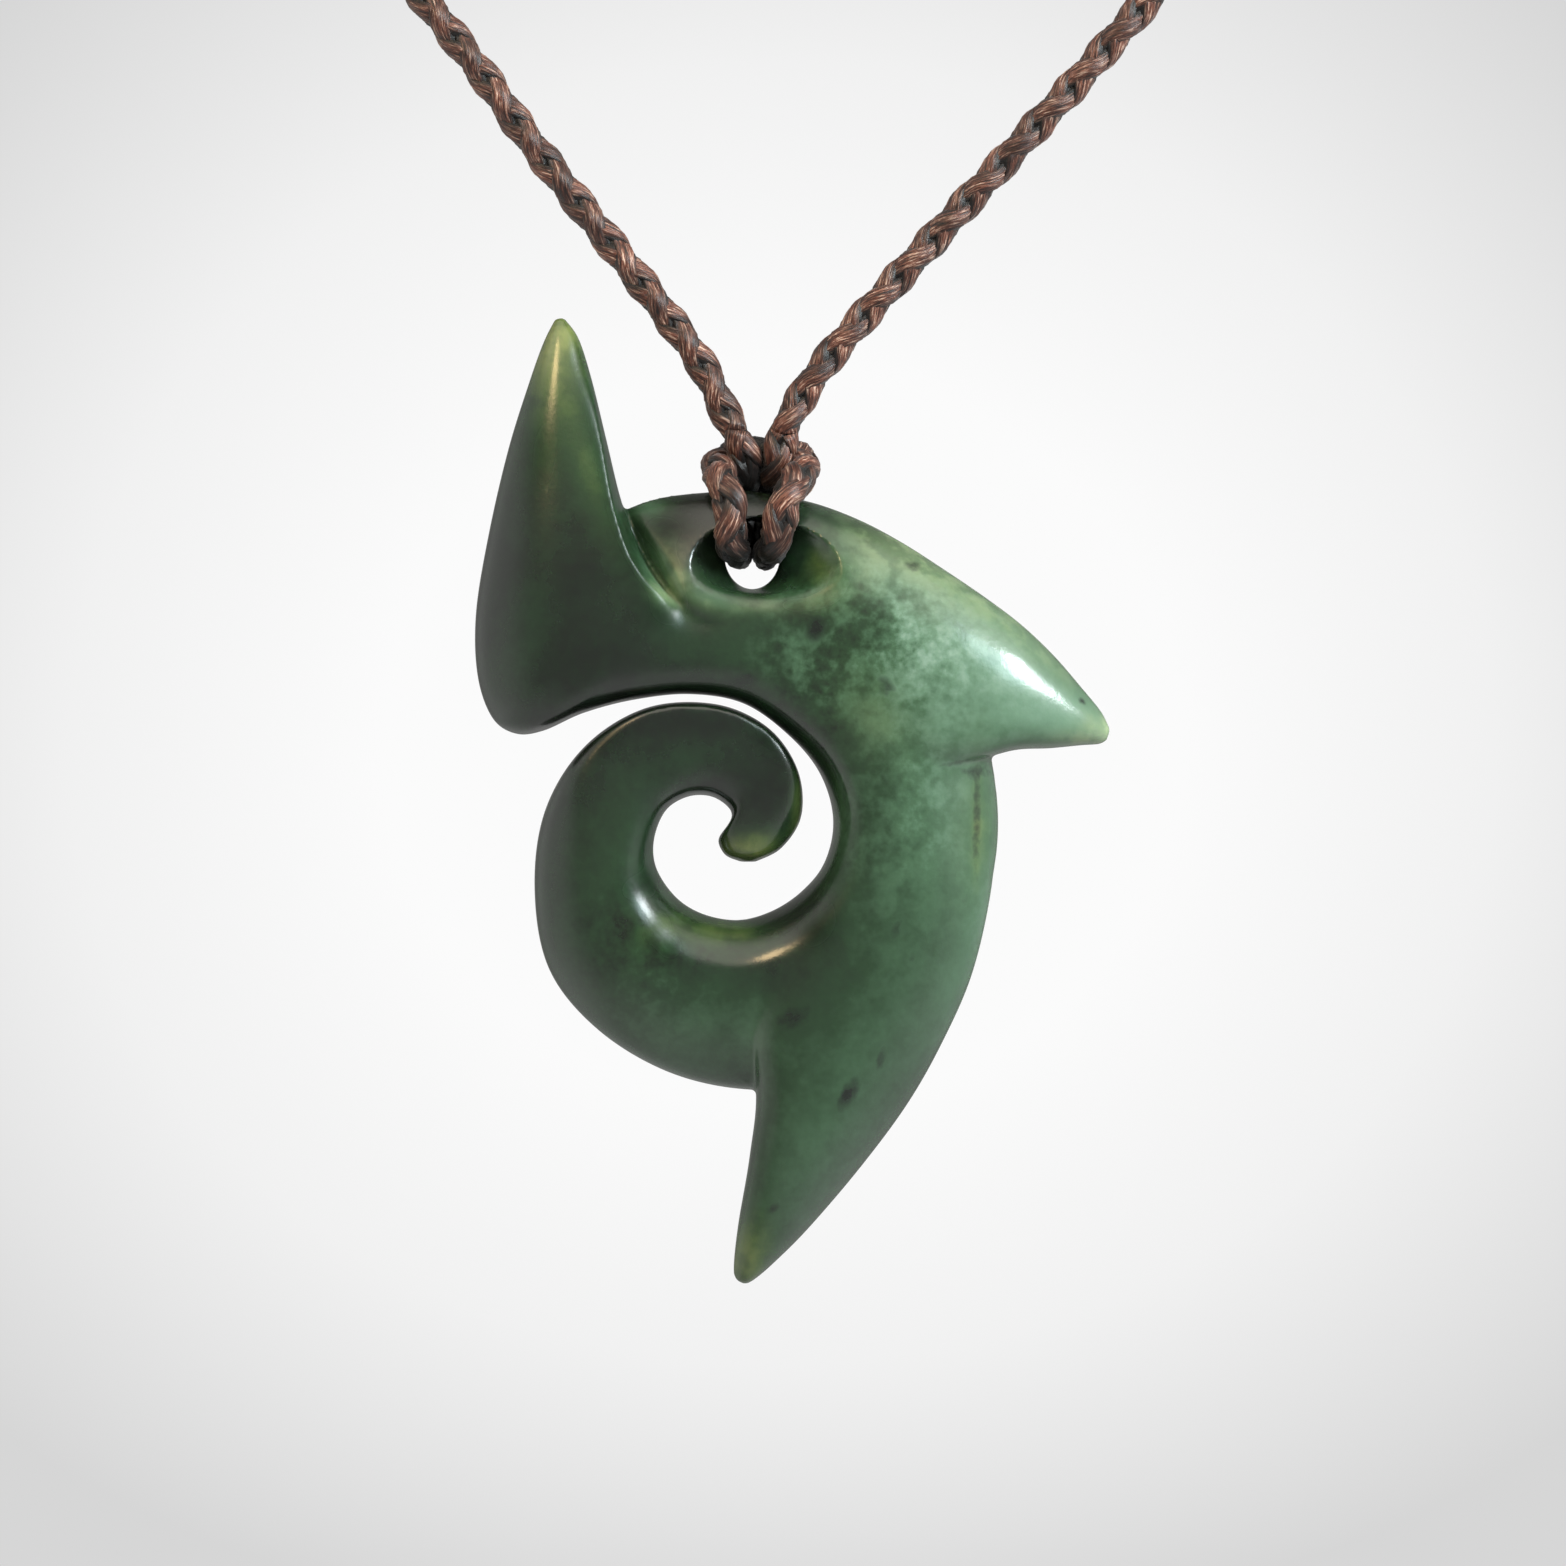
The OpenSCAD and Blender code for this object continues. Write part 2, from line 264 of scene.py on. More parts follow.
def half_hitch(mirror):
    """Half of the hitch, as listed or mirrored, moved over to the leaning middle of the knot."""
    points = HITCH_HALF * [mirror, 1, 1]
    points[:, 0] += KNOT_X + KNOT_LEAN * (points[:, 2] - KNOT_Z)
    return points


# Down the left side, through the hitch and up the right side; z is from the hole's middle at first.
nape = -hole_z
right_half, left_half = half_hitch(1), half_hitch(-1)
route_points = np.vstack([
    [[-WRAP_LENGTH / 2, 0, nape]],
    flat_points(LEFT_STRAND)[::-1],
    left_half,
    right_half[-2::-1],
    flat_points(RIGHT_STRAND),
    [[WRAP_LENGTH / 2, 0, nape]],
])
route_points[:, 2] += hole_z


def even_path(points, spacing, steps=24):
    """Points at equal spacing along the smooth curve through a few, and their distances along it."""
    dense = on_curve(points, steps)
    run = np.concatenate([[0], np.cumsum(np.linalg.norm(np.diff(dense, axis=0), axis=1))])
    along = np.linspace(0, run[-1], int(run[-1] / spacing) + 1)
    return np.column_stack([np.interp(along, run, dense[:, k]) for k in range(3)]), along


# A direction that the cord never runs along.
SKEW = (0.31, 0.87, 0.38)


def carried_frame(path, first_out):
    """Unit directions (forward, out, side) along a path, with out carried along and turned as little as
    possible. Any direction square to the path is taken; the turn of each step, atan2 of its sine and cosine
    about the path, is summed and taken off again."""
    forward = unit(np.gradient(path, axis=0))
    any_out = unit(np.cross(forward, SKEW))
    carried = any_out[:-1] - np.sum(any_out[:-1] * forward[1:], axis=1, keepdims=True) * forward[1:]
    sine = np.sum(np.cross(carried, any_out[1:]) * forward[1:], axis=1)
    cosine = np.sum(carried * any_out[1:], axis=1)
    turned = -np.concatenate([[0], np.cumsum(np.arctan2(sine, cosine))])
    any_side = np.cross(forward, any_out)
    start = math.atan2(np.dot(first_out, any_side[0]), np.dot(first_out, any_out[0]))
    angle = (turned + start)[:, None]
    out = np.cos(angle) * any_out + np.sin(angle) * any_side
    return forward, out, np.cross(forward, out)


path, along = even_path(route_points, RING_SPACING)
forward, out, side = carried_frame(path, np.array([0.0, 1.0, 0.0]))
# The rows of the path where the hitch begins and ends.
first, last = (int(np.argmin(np.linalg.norm(path - (strand[0] + [0, 0, hole_z]), axis=1)))
               for strand in (flat_points(LEFT_STRAND), flat_points(RIGHT_STRAND)))
print(f"cord {along[-1]:.0f} mm in all, {along[last] - along[first]:.0f} mm of it in the hitch")

# %% [markdown]
# The little twist that the hitch leaves in the carried direction is undone along the hitch itself, so that
# both sides of the plait show the same face to the front.

# %% Take the hitch's twist out
leftover = math.atan2(out[last] @ np.cross(forward[last], [0, 1, 0]), out[last, 1])
share = np.clip((along - along[first]) / (along[last] - along[first]), 0, 1)
untwist = (share * leftover)[:, None]
out, side = np.cos(untwist) * out - np.sin(untwist) * side, np.sin(untwist) * out + np.cos(untwist) * side
print(f"twist taken out {math.degrees(leftover):.0f} degrees")

# %% [markdown]
# ## The plait
#
# Four strands make a round plait: two wind one way round the core and two the other way, and wherever they
# cross, one dips under while the other rides over. Seen from the front, that gives bulges on both sides at
# the same height, as the photograph shows, 3.5 mm apart. Each strand is itself a bundle of fine waxed
# filaments, so its section is an oval with shallow lobes that turn slowly along it.
#
# The shape could be four Blender curves with a bevel, but a curve cannot give the oval section that stays
# flat against the core. A grid can: one formula places all points of all four strands at once.

# %% Strands of the plait
STRAND_PITCH = 7.0
CORE_RADIUS = 0.44
WEAVE_DEPTH = 0.15
STRAND_HALF_WIDTH = 0.74
STRAND_HALF_THICKNESS = 0.56
STRAND_COLUMNS = 32
LOBES = 8
LOBE_DEPTH = 0.06
LOBE_PITCH = 16.0
# How far along its pattern each strand starts after the one before, so that no two look alike.
PATTERN_SHIFT = 31.0


def plaited(name, rows, diameter):
    """Plait over the rows of the path. Strand k sits at angle a = d w + p round the cord, where w is
    2 pi s / pitch, d is 1, 1, -1, -1 and p is 0, pi, 0, pi, and at radius core + d * depth * cos(2 w): where
    two cross, one is out and the other in. Its section is an oval, wide round the cord, with lobes. The
    attribute fibre is the turn round the strand and the distance along it, and unshaded says how far a point
    looks outwards, less where the cord is tucked away; it drives the painted shade, dark in the gaps
    between strands and near black in the knot and the hole."""
    rings = slice(*rows)
    centre, outward, sideways = path[rings], out[rings], side[rings]
    s = along[rings]
    scale = (diameter / CORD_DIAMETER)[:, None]
    w = 2 * np.pi * s / STRAND_PITCH
    way = np.array([1, 1, -1, -1])[:, None]
    start = np.array([0, np.pi, 0, np.pi])[:, None]
    angle = way * w + start
    radius = CORE_RADIUS + way * WEAVE_DEPTH * np.cos(2 * w)
    radial = np.cos(angle)[..., None] * outward + np.sin(angle)[..., None] * sideways
    middle = centre + radius[..., None] * scale * radial
    direction = unit(np.gradient(middle, axis=1))
    radial = unit(radial - np.sum(radial * direction, axis=2, keepdims=True) * direction)
    tangential = np.cross(direction, radial)
    turn = np.linspace(0, 2 * np.pi, STRAND_COLUMNS, endpoint=False)
    lobe_turn = way[..., None] * 2 * np.pi * s[None, :, None] / LOBE_PITCH
    swell = 1 + LOBE_DEPTH * np.cos(LOBES * (turn + lobe_turn))
    across = (STRAND_HALF_THICKNESS * np.cos(turn) * swell)[..., None]
    around = (STRAND_HALF_WIDTH * np.sin(turn) * swell)[..., None]
    oval = across * radial[:, :, None] + around * tangential[:, :, None]
    points = middle[:, :, None] + scale[:, None] * oval
    # unshaded is painted shade: the inner side of each strand and the tucked cord are darkened, as shadow
    # would.
    filament, run, outer = np.broadcast_arrays(
        turn + lobe_turn,
        s[None, :, None] + PATTERN_SHIFT * np.arange(4)[:, None, None],
        np.cos(turn) * (1 - tucked[rings])[:, None],
    )
    fibre = np.stack([np.cos(filament), np.sin(filament), run], axis=-1)
    piece = skin(name, points, {"fibre": fibre, "outer": outer})
    print(f"{name}: {faces_in(piece)} faces over {s[-1] - s[0]:.0f} mm")
    return piece


# Where the cord is tucked inside the knot or the hole, it is painted near black: painted shade for the deep
# shadow there. The knot's inside ends KNOT_TOP above the hole, higher at the back, and at KNOT_FRONT to the
# front.
KNOT_HALF_WIDTH = 2.4
KNOT_TOP = 7.4
KNOT_FADE = 1.2
KNOT_FRONT = -2.0
DARK_HOLE_Z = 0.3
DARK_HOLE_HALF_HEIGHT = 1.25
above_hole = path[:, 2] - hole_z
below_top = np.clip((KNOT_TOP - (above_hole - path[:, 1] / 2)) / KNOT_FADE, 0, 1)
near_middle = np.exp(-((path[:, 0] - KNOT_X) / KNOT_HALF_WIDTH) ** 2)
in_knot = near_middle * below_top * (path[:, 1] > KNOT_FRONT)
in_hole = np.exp(-((above_hole - DARK_HOLE_Z) / DARK_HOLE_HALF_HEIGHT) ** 2)
# tucked says how much painted shade darkens the cord in the knot and the hole.
tucked = 1 - (1 - in_knot) * (1 - in_hole)

# In the hitch the plait is pressed wide against the stone, and in the throat of the hole it is squeezed.
PRESSED_AFTER = 3.0
THROAT_HALF_DEPTH = 2.0
THROAT_HALF_HEIGHT = 2.5
pressed = np.clip(np.minimum(along - along[first], along[last] - along) / PRESSED_AFTER, 0, 1)
squeezed = np.exp(-((path[:, 1] / THROAT_HALF_DEPTH) ** 4) - (above_hole / THROAT_HALF_HEIGHT) ** 4)
diameters = CORD_DIAMETER + (HITCH_DIAMETER - CORD_DIAMETER) * pressed
diameters += (THROAT_DIAMETER - diameters) * squeezed
left_cord = plaited("left_cord", (0, first + 1), diameters[:first + 1])
hitch = plaited("lark_head_hitch", (first, last + 1), diameters[first:last + 1])
right_cord = plaited("right_cord", (last, len(path)), diameters[last:])

# %% [markdown]
# ## The wrapped join
#
# At the nape the two ends are laid together and whipped: thread is wound round them, turn against turn. The
# photograph does not show it, so it is kept plain. A whipping could be a long helix of tube, but only its
# outside shows, so it is one surface of revolution whose radius rises and falls as the thread winds.

# %% Whipping at the nape
WRAP_RADIUS = 1.72
THREAD = 0.5
END_DROP = 0.9
END_LENGTH = 0.6


def whipping(name, length, rows=260, columns=72):
    """Radius wrap + thread/2 * sqrt(1 - q^2), where q runs from -1 to 1 across each turn of the thread,
    q = 2 frac(x / thread - angle / 2 pi) - 1. Over the end length the thread is eased to nothing and the
    wrap drops by a quarter round."""
    x = np.linspace(-length / 2, length / 2, rows)[:, None]
    angle = np.linspace(0, 2 * np.pi, columns, endpoint=False)[None]
    q = 2 * ((x / THREAD - angle / (2 * np.pi)) % 1) - 1
    end = np.clip((length / 2 - np.abs(x)) / END_LENGTH, 0, 1)
    radius = (WRAP_RADIUS - END_DROP) + END_DROP * np.sqrt(1 - (1 - end) ** 2)
    radius = radius + THREAD / 2 * np.sqrt(1 - q**2) * end
    points = np.stack([x + 0 * radius, radius * np.sin(angle), radius * np.cos(angle)], axis=-1)
    fibre = np.stack([np.cos(angle) + 0 * x, q + 0 * angle, x / THREAD + angle], axis=-1)
    # The attribute unshaded is painted shade: it falls to nothing where two turns of thread meet, and the
    # colour goes dark there.
    return skin(name, points, {"fibre": fibre, "outer": np.sqrt(1 - q**2)})


nape_join = whipping("nape_whipping", WRAP_LENGTH)
print(f"whipping: {faces_in(nape_join)} faces")

# %% [markdown]
# ## The stone
#
# A carver roughs the koru out of a flat slab and then rounds each limb from its two edges to a crest. The
# stone is built the same way. Each limb is a row of sections that run from one edge to the other, and a
# section is two quarter ovals that meet at the crest. An exponent says how square its shoulder is: 2 is a
# true oval, 8 or more nearly square, as on the crisp edge of the first horn, and 1.6 almost a bevel, as
# inside the spiral.
#
# Three limbs are enough: the first horn with the bar and the spiral band, the low ring with the second
# horn, and the outside of the main arc with the third horn. They are joined, the hole is cut, and a fine
# voxel remesh gives one even skin that can be relaxed, which is what polishing does to a ground stone.

# %% Tables of the limbs
# [edge 1 x, edge 1 z, edge 2 x, edge 2 z, half thickness, crest, shoulder 1, shoulder 2, wall 1, wall 2],
# in millimetres from the middle of the hole; the crest is the share of the way from edge 1 to edge 2, and a
# wall is how far in from that edge a sawn side still stands steep.
KORU = [
    [-13.4, 16.4, -14, 16.3, 0.4, 0.5, 2, 2, 0, 0],
    [-12.4, 15, -14.8, 14.7, 1.1, 0.5, 2.2, 2, 0.1, 0],
    [-11.5, 12.2, -15.8, 11.9, 1.9, 0.48, 3, 2, 0.2, 0],
    [-10.5, 8.1, -17.2, 7.4, 2.8, 0.45, 8, 2, 0.35, 0],
    [-9.5, 4, -18.5, 1.8, 3.6, 0.42, 10, 2, 0.6, 0],
    [-8.4, 1, -19.4, -3.7, 4.1, 0.4, 12, 2, 0.8, 0],
    [-7.4, -0.8, -19.3, -8, 4.3, 0.4, 12, 2, 0.8, 0],
    [-6.5, -1.9, -18.3, -10.9, 4.4, 0.4, 10, 2.1, 0.7, 0],
    [-5.7, -2.7, -16.7, -12, 4.4, 0.42, 8, 2.2, 0.7, 0],
    [-4.9, -3.3, -14.8, -11.8, 4.3, 0.45, 5, 2.6, 0.8, 0.3],
    [-3.7, -3.4, -12.1, -10.6, 4.15, 0.48, 3.2, 3, 0.4, 0.9],
    [-1.6, -3, -8.7, -9.7, 4, 0.5, 2.6, 3.2, 0, 1.2],
    [0.8, -2.4, -4.8, -9.3, 4, 0.52, 2.6, 3.2, 0, 1.3],
    [4.2, -1.9, -1.1, -9.95, 4.1, 0.56, 2.4, 3, 0, 1.4],
    [9.5, -3.5, 2, -12.15, 4.3, 0.64, 2.2, 2.8, 0, 1.6],
    [14.3, -9, 4.1, -14.75, 4.4, 0.7, 2, 2.6, 0, 1.8],
    [16.1, -15.5, 5, -17.9, 4.4, 0.72, 1.9, 2.5, 0, 1.8],
    [16, -21.3, 4.4, -20.8, 4.4, 0.72, 2, 2.2, 0, 1.5],
    [14, -27.5, 2.9, -22.7, 4.4, 0.72, 2.2, 1.8, 0, 0.9],
    [9.9, -32.9, 1, -24, 4.2, 0.72, 2.2, 1.6, 0, 0.3],
    [4.4, -35.9, -1.2, -24.7, 3.9, 0.7, 2.1, 1.6, 0, 0],
    [-1, -36.3, -3.3, -24.5, 3.7, 0.68, 2.1, 1.7, 0, 0],
    [-6.3, -35.1, -5.1, -23.7, 3.8, 0.66, 2.1, 1.8, 0, 0],
    [-11.1, -32.2, -6.4, -22.4, 4, 0.64, 2.1, 1.9, 0, 0],
    [-14.4, -28.1, -7.2, -20.8, 3.9, 0.62, 2, 2.3, 0, 0],
    [-15.4, -22.7, -7.2, -19, 3.8, 0.6, 2.1, 3, 0, 0],
    [-14.7, -17.3, -6.4, -17.2, 3.6, 0.5, 2.4, 3.4, 0, 0],
    [-12, -12.9, -4.9, -16.3, 3.3, 0.34, 5, 3.2, 0.3, 0],
    [-7.8, -10.25, -3.3, -16.3, 3.1, 0.28, 8, 2.8, 0.3, 0],
    [-3.1, -9.97, -2.1, -17.1, 2.8, 0.28, 8, 2.6, 0.3, 0],
    [0.5, -11.55, -2, -17.9, 2.5, 0.3, 8, 2.6, 0.25, 0],
    [2.55, -14.4, -2.75, -19, 2.2, 0.36, 6, 2.4, 0.1, 0],
    [2.85, -17.6, -2.8, -19.6, 1.8, 0.5, 2.4, 2, 0, 0],
    [1.5, -19.8, -2.3, -20.35, 1.3, 0.5, 2, 2, 0, 0],
    [-0.3, -20.75, -1.3, -20.75, 0.6, 0.5, 2, 2, 0, 0],
]
RING = [
    [-9.9, 3.1, -8, -1.6, 0.8, 0.6, 2, 2, 0.3, 0],
    [-9.2, 3.3, -6.9, -2, 1.2, 0.62, 2, 2, 0.3, 0],
    [-8.7, 3.5, -6.2, -2.6, 2.1, 0.7, 1.8, 2, 0.2, 0],
    [-7.8, 3.85, -5.5, -3.8, 3.2, 0.74, 1.5, 2, 0.1, 0],
    [-6.4, 4.2, -4.5, -5.2, 3.9, 0.74, 1.4, 2, 0.1, 0],
    [-4.1, 4.45, -2.9, -6.6, 3.9, 0.74, 1.7, 2, 0.1, 0],
    [-1, 4.6, -1, -9, 3.9, 0.62, 2, 2, 0.1, 0],
    [1.7, 4.2, 0.7, -10.2, 3.95, 0.55, 2, 2, 0.1, 0],
    [4.2, 3.6, 3, -12, 4.1, 0.48, 2, 2, 0.1, 0],
    [7, 2.5, 5, -14.2, 4.3, 0.5, 2, 2, 0.1, 0],
    [9.8, 1, 8.5, -15.5, 4.4, 0.57, 2.1, 2.4, 0, 0],
    [12.6, -0.8, 12.3, -14.6, 4.4, 0.61, 2.2, 4.4, 0, 0.3],
    [15.4, -2.7, 15.6, -13.6, 4.1, 0.63, 2.1, 4.6, 0, 0.3],
    [17.9, -4.6, 17.6, -13.1, 3.6, 0.64, 2.1, 4, 0, 0.2],
    [20.1, -6.7, 19.8, -13, 2.8, 0.68, 2.1, 3, 0, 0],
    [22, -8.9, 21.9, -12.8, 1.9, 0.66, 2, 2.3, 0, 0],
    [23.3, -10.5, 23.2, -12.7, 1.1, 0.58, 2, 2, 0, 0],
    [23.9, -11.7, 23.7, -12.4, 0.5, 0.5, 2, 2, 0, 0],
]
ARC = [
    [13.7, -9.7, 3, -12.6, 3.8, 0.66, 2.2, 2, 0, 0],
    [15.8, -13.8, 4.8, -15.8, 4, 0.7, 1.9, 1.9, 0, 1.5],
    [16.1, -17.9, 5.2, -18.2, 4.3, 0.72, 1.9, 1.9, 0, 1.5],
    [15.8, -22.7, 4.7, -21.2, 4.4, 0.72, 2.2, 1.8, 0, 1.3],
    [14.5, -28.4, 2.4, -24.6, 4.4, 0.68, 2.2, 1.8, 0, 0.5],
    [12.4, -33.2, -0.5, -27.2, 4.5, 0.64, 2.1, 2, 0, 0],
    [10, -37.4, -1.4, -31, 4.4, 0.62, 2.1, 2.4, 0, 0],
    [6.8, -41.7, -0.3, -36.2, 4.1, 0.62, 2, 2.8, 0, 0],
    [3.3, -45.8, -0.7, -40.8, 3.3, 0.6, 2, 2.6, 0, 0],
    [0.9, -48.2, -1.5, -45.6, 2.1, 0.56, 2, 2.2, 0, 0],
    [-0.4, -49.3, -1.8, -48.6, 1, 0.5, 2, 2, 0, 0],
    [-1, -49.6, -1.5, -49.4, 0.4, 0.5, 2, 2, 0, 0],
]
print(f"sections: {len(KORU)}, {len(RING)} and {len(ARC)}")

# %% Limbs as skins over their sections
ROW_STEPS = 12
SECTION_COLUMNS = 144
WALL_REACH = 2.5
WALL_RISE = 1.25


def wall_height(distance, wall):
    """Height of a sawn side at a distance in from its edge, as a share of the half thickness:
    rise * sqrt(1 - (1 - distance / (reach * wall))^2), which reaches 1 at the wall's width."""
    inward = np.clip(distance / np.maximum(WALL_REACH * wall, 1e-3), 0, 1)
    return WALL_RISE * np.sqrt(1 - (1 - inward) ** 2)


def limb(name, table):
    """Skin over a table of sections. With c = cos(angle) and s = sin(angle), a point lies at share
    crest (1 - |c|^(2/p)) from edge 1, or crest + (1 - crest) |c|^(2/p) past the crest, and stands out by
    half thickness times the least of |s|^(2/p) and the walls at its two edges, to the front for the first
    half turn and to the back for the rest."""
    rows = on_curve(table, ROW_STEPS)[:, None]
    angle = np.linspace(0, 2 * np.pi, SECTION_COLUMNS, endpoint=False)[None]
    cosine, sine = np.cos(angle), np.sin(angle)
    x1, z1, x2, z2, half, crest, shoulder1, shoulder2, wall1, wall2 = np.moveaxis(rows, 2, 0)
    power = 2 / np.where(cosine > 0, shoulder1, shoulder2)
    reach = np.abs(cosine) ** power
    share = np.where(cosine > 0, crest * (1 - reach), crest + (1 - crest) * reach)
    width = np.hypot(x2 - x1, z2 - z1)
    height = np.minimum(np.abs(sine) ** power, wall_height(share * width, wall1))
    height = np.minimum(height, wall_height((1 - share) * width, wall2))
    depth = -np.sign(sine) * half * height
    points = np.stack([x1 + (x2 - x1) * share, depth, z1 + (z2 - z1) * share + hole_z], axis=-1)
    return skin(name, points)


# Ovals of the hole, the same on both faces: [depth from the middle of the stone, centre x, centre z, half
# width, half height]. A straight throat opens smoothly into a wide funnel.
HOLE = [
    [0, -0.5, 0.2, 2, 2.35],
    [0.9, -0.5, 0.2, 2, 2.35],
    [2.1, -0.1, 0.15, 3.5, 2.5],
    [3.1, 0.2, 0.1, 4.8, 2.7],
    [3.6, 0.3, 0, 5.5, 3.05],
    [3.85, 0.35, -0.1, 5.9, 3.5],
    [4, 0.4, -0.2, 6.3, 4],
    [5.2, 0.4, -0.2, 7, 4.6],
]


def hole_cutter(name, rows=80, columns=96):
    """Stack of ovals through the stone, on a smooth curve through the rows of the table."""
    reach = HOLE[-1][0]
    y = np.linspace(-reach, reach, rows)[:, None]
    angle = np.linspace(0, 2 * np.pi, columns, endpoint=False)[None]
    depth, *sizes = on_curve(HOLE, ROW_STEPS).T
    middle_x, middle_z, wide, high = (np.interp(np.abs(y), depth, size) for size in sizes)
    points = np.stack([
        middle_x + wide * np.cos(angle),
        y + 0 * angle,
        hole_z + middle_z - high * np.sin(angle),
    ], axis=-1)
    return skin(name, points)


koru = limb("koru_stone", KORU)
ring = limb("ring_blank", RING)
arc = limb("arc_blank", ARC)
hole = hole_cutter("hole_blank")
print(f"limbs: {faces_in(koru)}, {faces_in(ring)} and {faces_in(arc)} faces")

# %% Join the limbs, cut the hole, remesh
VOXEL = 0.16


def joined_stone(base, others, cutter):
    """Base with others joined to it and cutter taken out, remeshed to even voxels."""
    for other, how in [(other, "UNION") for other in others] + [(cutter, "DIFFERENCE")]:
        step = base.modifiers.new(how.lower(), "BOOLEAN")
        step.operation = how
        step.solver = "EXACT"
        step.object = other
    even = base.modifiers.new("even", "REMESH")
    even.mode = "VOXEL"
    even.voxel_size = VOXEL * MM
    view = bpy.context.evaluated_depsgraph_get()
    mesh = bpy.data.meshes.new_from_object(base.evaluated_get(view))
    base.modifiers.clear()
    base.data = mesh
    for helper in (*others, cutter):
        bpy.data.objects.remove(helper)
    return base


koru = joined_stone(koru, [ring, arc], hole)
print(f"stone: {faces_in(koru)} faces")

# %% [markdown]
# A voxel skin has tiny steps. Relaxing moves each point towards the middle of its neighbours. Done alone it
# would shrink the tips, so each pass is followed by a slightly stronger one outwards, which takes the steps
# away and leaves the form. Where two limbs run into each other on the real stone no line is left, because
# the carver ground it away. There the skin is relaxed far more, inwards only, inside a few soft ovals.
# Last, the fine skin is thinned: the flat stretches need fewer faces than the sharp edges.

# %% Ovals on the stone
def oval_share(points, table, together=True):
    """How far points lie inside a table's soft ovals, seen from the front, from 0 to 1. A row is
    [x, z, half length, half width, turn in degrees, strength] and gives
    strength * exp(-(u / length)^2 - (v / width)^2), u and v measured along and across the turned oval.
    Ovals add up as 1 - (1 - a)(1 - b)..., or the strongest counts alone."""
    x, z, length, width, turn, strength = (column[:, None] for column in np.array(table).T)
    along_x, along_z = np.cos(np.radians(turn)), np.sin(np.radians(turn))
    dx, dz = points[:, 0] - x, points[:, 2] - hole_z - z
    u, v = dx * along_x + dz * along_z, dz * along_x - dx * along_z
    shares = strength * np.exp(-((u / length) ** 2) - (v / width) ** 2)
    return 1 - np.prod(1 - shares, axis=0) if together else shares.max(axis=0)


# %% Polish the skin
POLISH_PASSES = 6
INWARD = 0.5
OUTWARD = -0.52
GRINDING_PASSES = 160
MOST_FACES = 196000
GROUND_AWAY = [
    [2, -4.8, 5.5, 1.3, 12, 1],
    [7.5, -8, 3, 3.5, -45, 1],
    [8, -12.5, 3.5, 2.6, -80, 1],
    [-5.2, -4.4, 1.4, 0.8, -40, 0.7],
    [9.5, -18, 5, 4, -90, 1],
    [9, -24, 5, 4, -100, 1],
    [3.5, -29, 3.5, 3, -50, 1],
]


def edges_of(mesh):
    """Pairs of point numbers, one pair to an edge."""
    pairs = np.empty(len(mesh.edges) * 2, np.int32)
    mesh.edges.foreach_get("vertices", pairs)
    return pairs.reshape(-1, 2)


def neighbour_mean(values, edges):
    """Mean of each point's neighbours, for values with one row to a point."""
    count = len(values)
    ends = np.concatenate([edges[:, 0], edges[:, 1]])
    others = np.concatenate([edges[:, 1], edges[:, 0]])
    total = np.column_stack([np.bincount(ends, values[others, k], count) for k in range(values.shape[1])])
    return total / np.bincount(ends, minlength=count)[:, None]


edges = edges_of(koru.data)
points = vertices_of(koru.data)
for _ in range(POLISH_PASSES):
    for share in (INWARD, OUTWARD):
        points = points + share * (neighbour_mean(points, edges) - points)
ground = oval_share(points, GROUND_AWAY)[:, None]
for _ in range(GRINDING_PASSES):
    points = points + INWARD * ground * (neighbour_mean(points, edges) - points)
koru.data.vertices.foreach_set("co", (points * MM).ravel())

# The skin is all squares, and thinning counts each as two triangles.
thinned = koru.modifiers.new("thinned", "DECIMATE")
thinned.ratio = min(1.0, MOST_FACES / (2 * faces_in(koru)))
koru.data = bpy.data.meshes.new_from_object(koru.evaluated_get(bpy.context.evaluated_depsgraph_get()))
koru.modifiers.clear()
koru.data.shade_smooth()
points = vertices_of(koru.data)
print(f"polished stone {points.max(0) - points.min(0)} mm, {faces_in(koru)} faces")
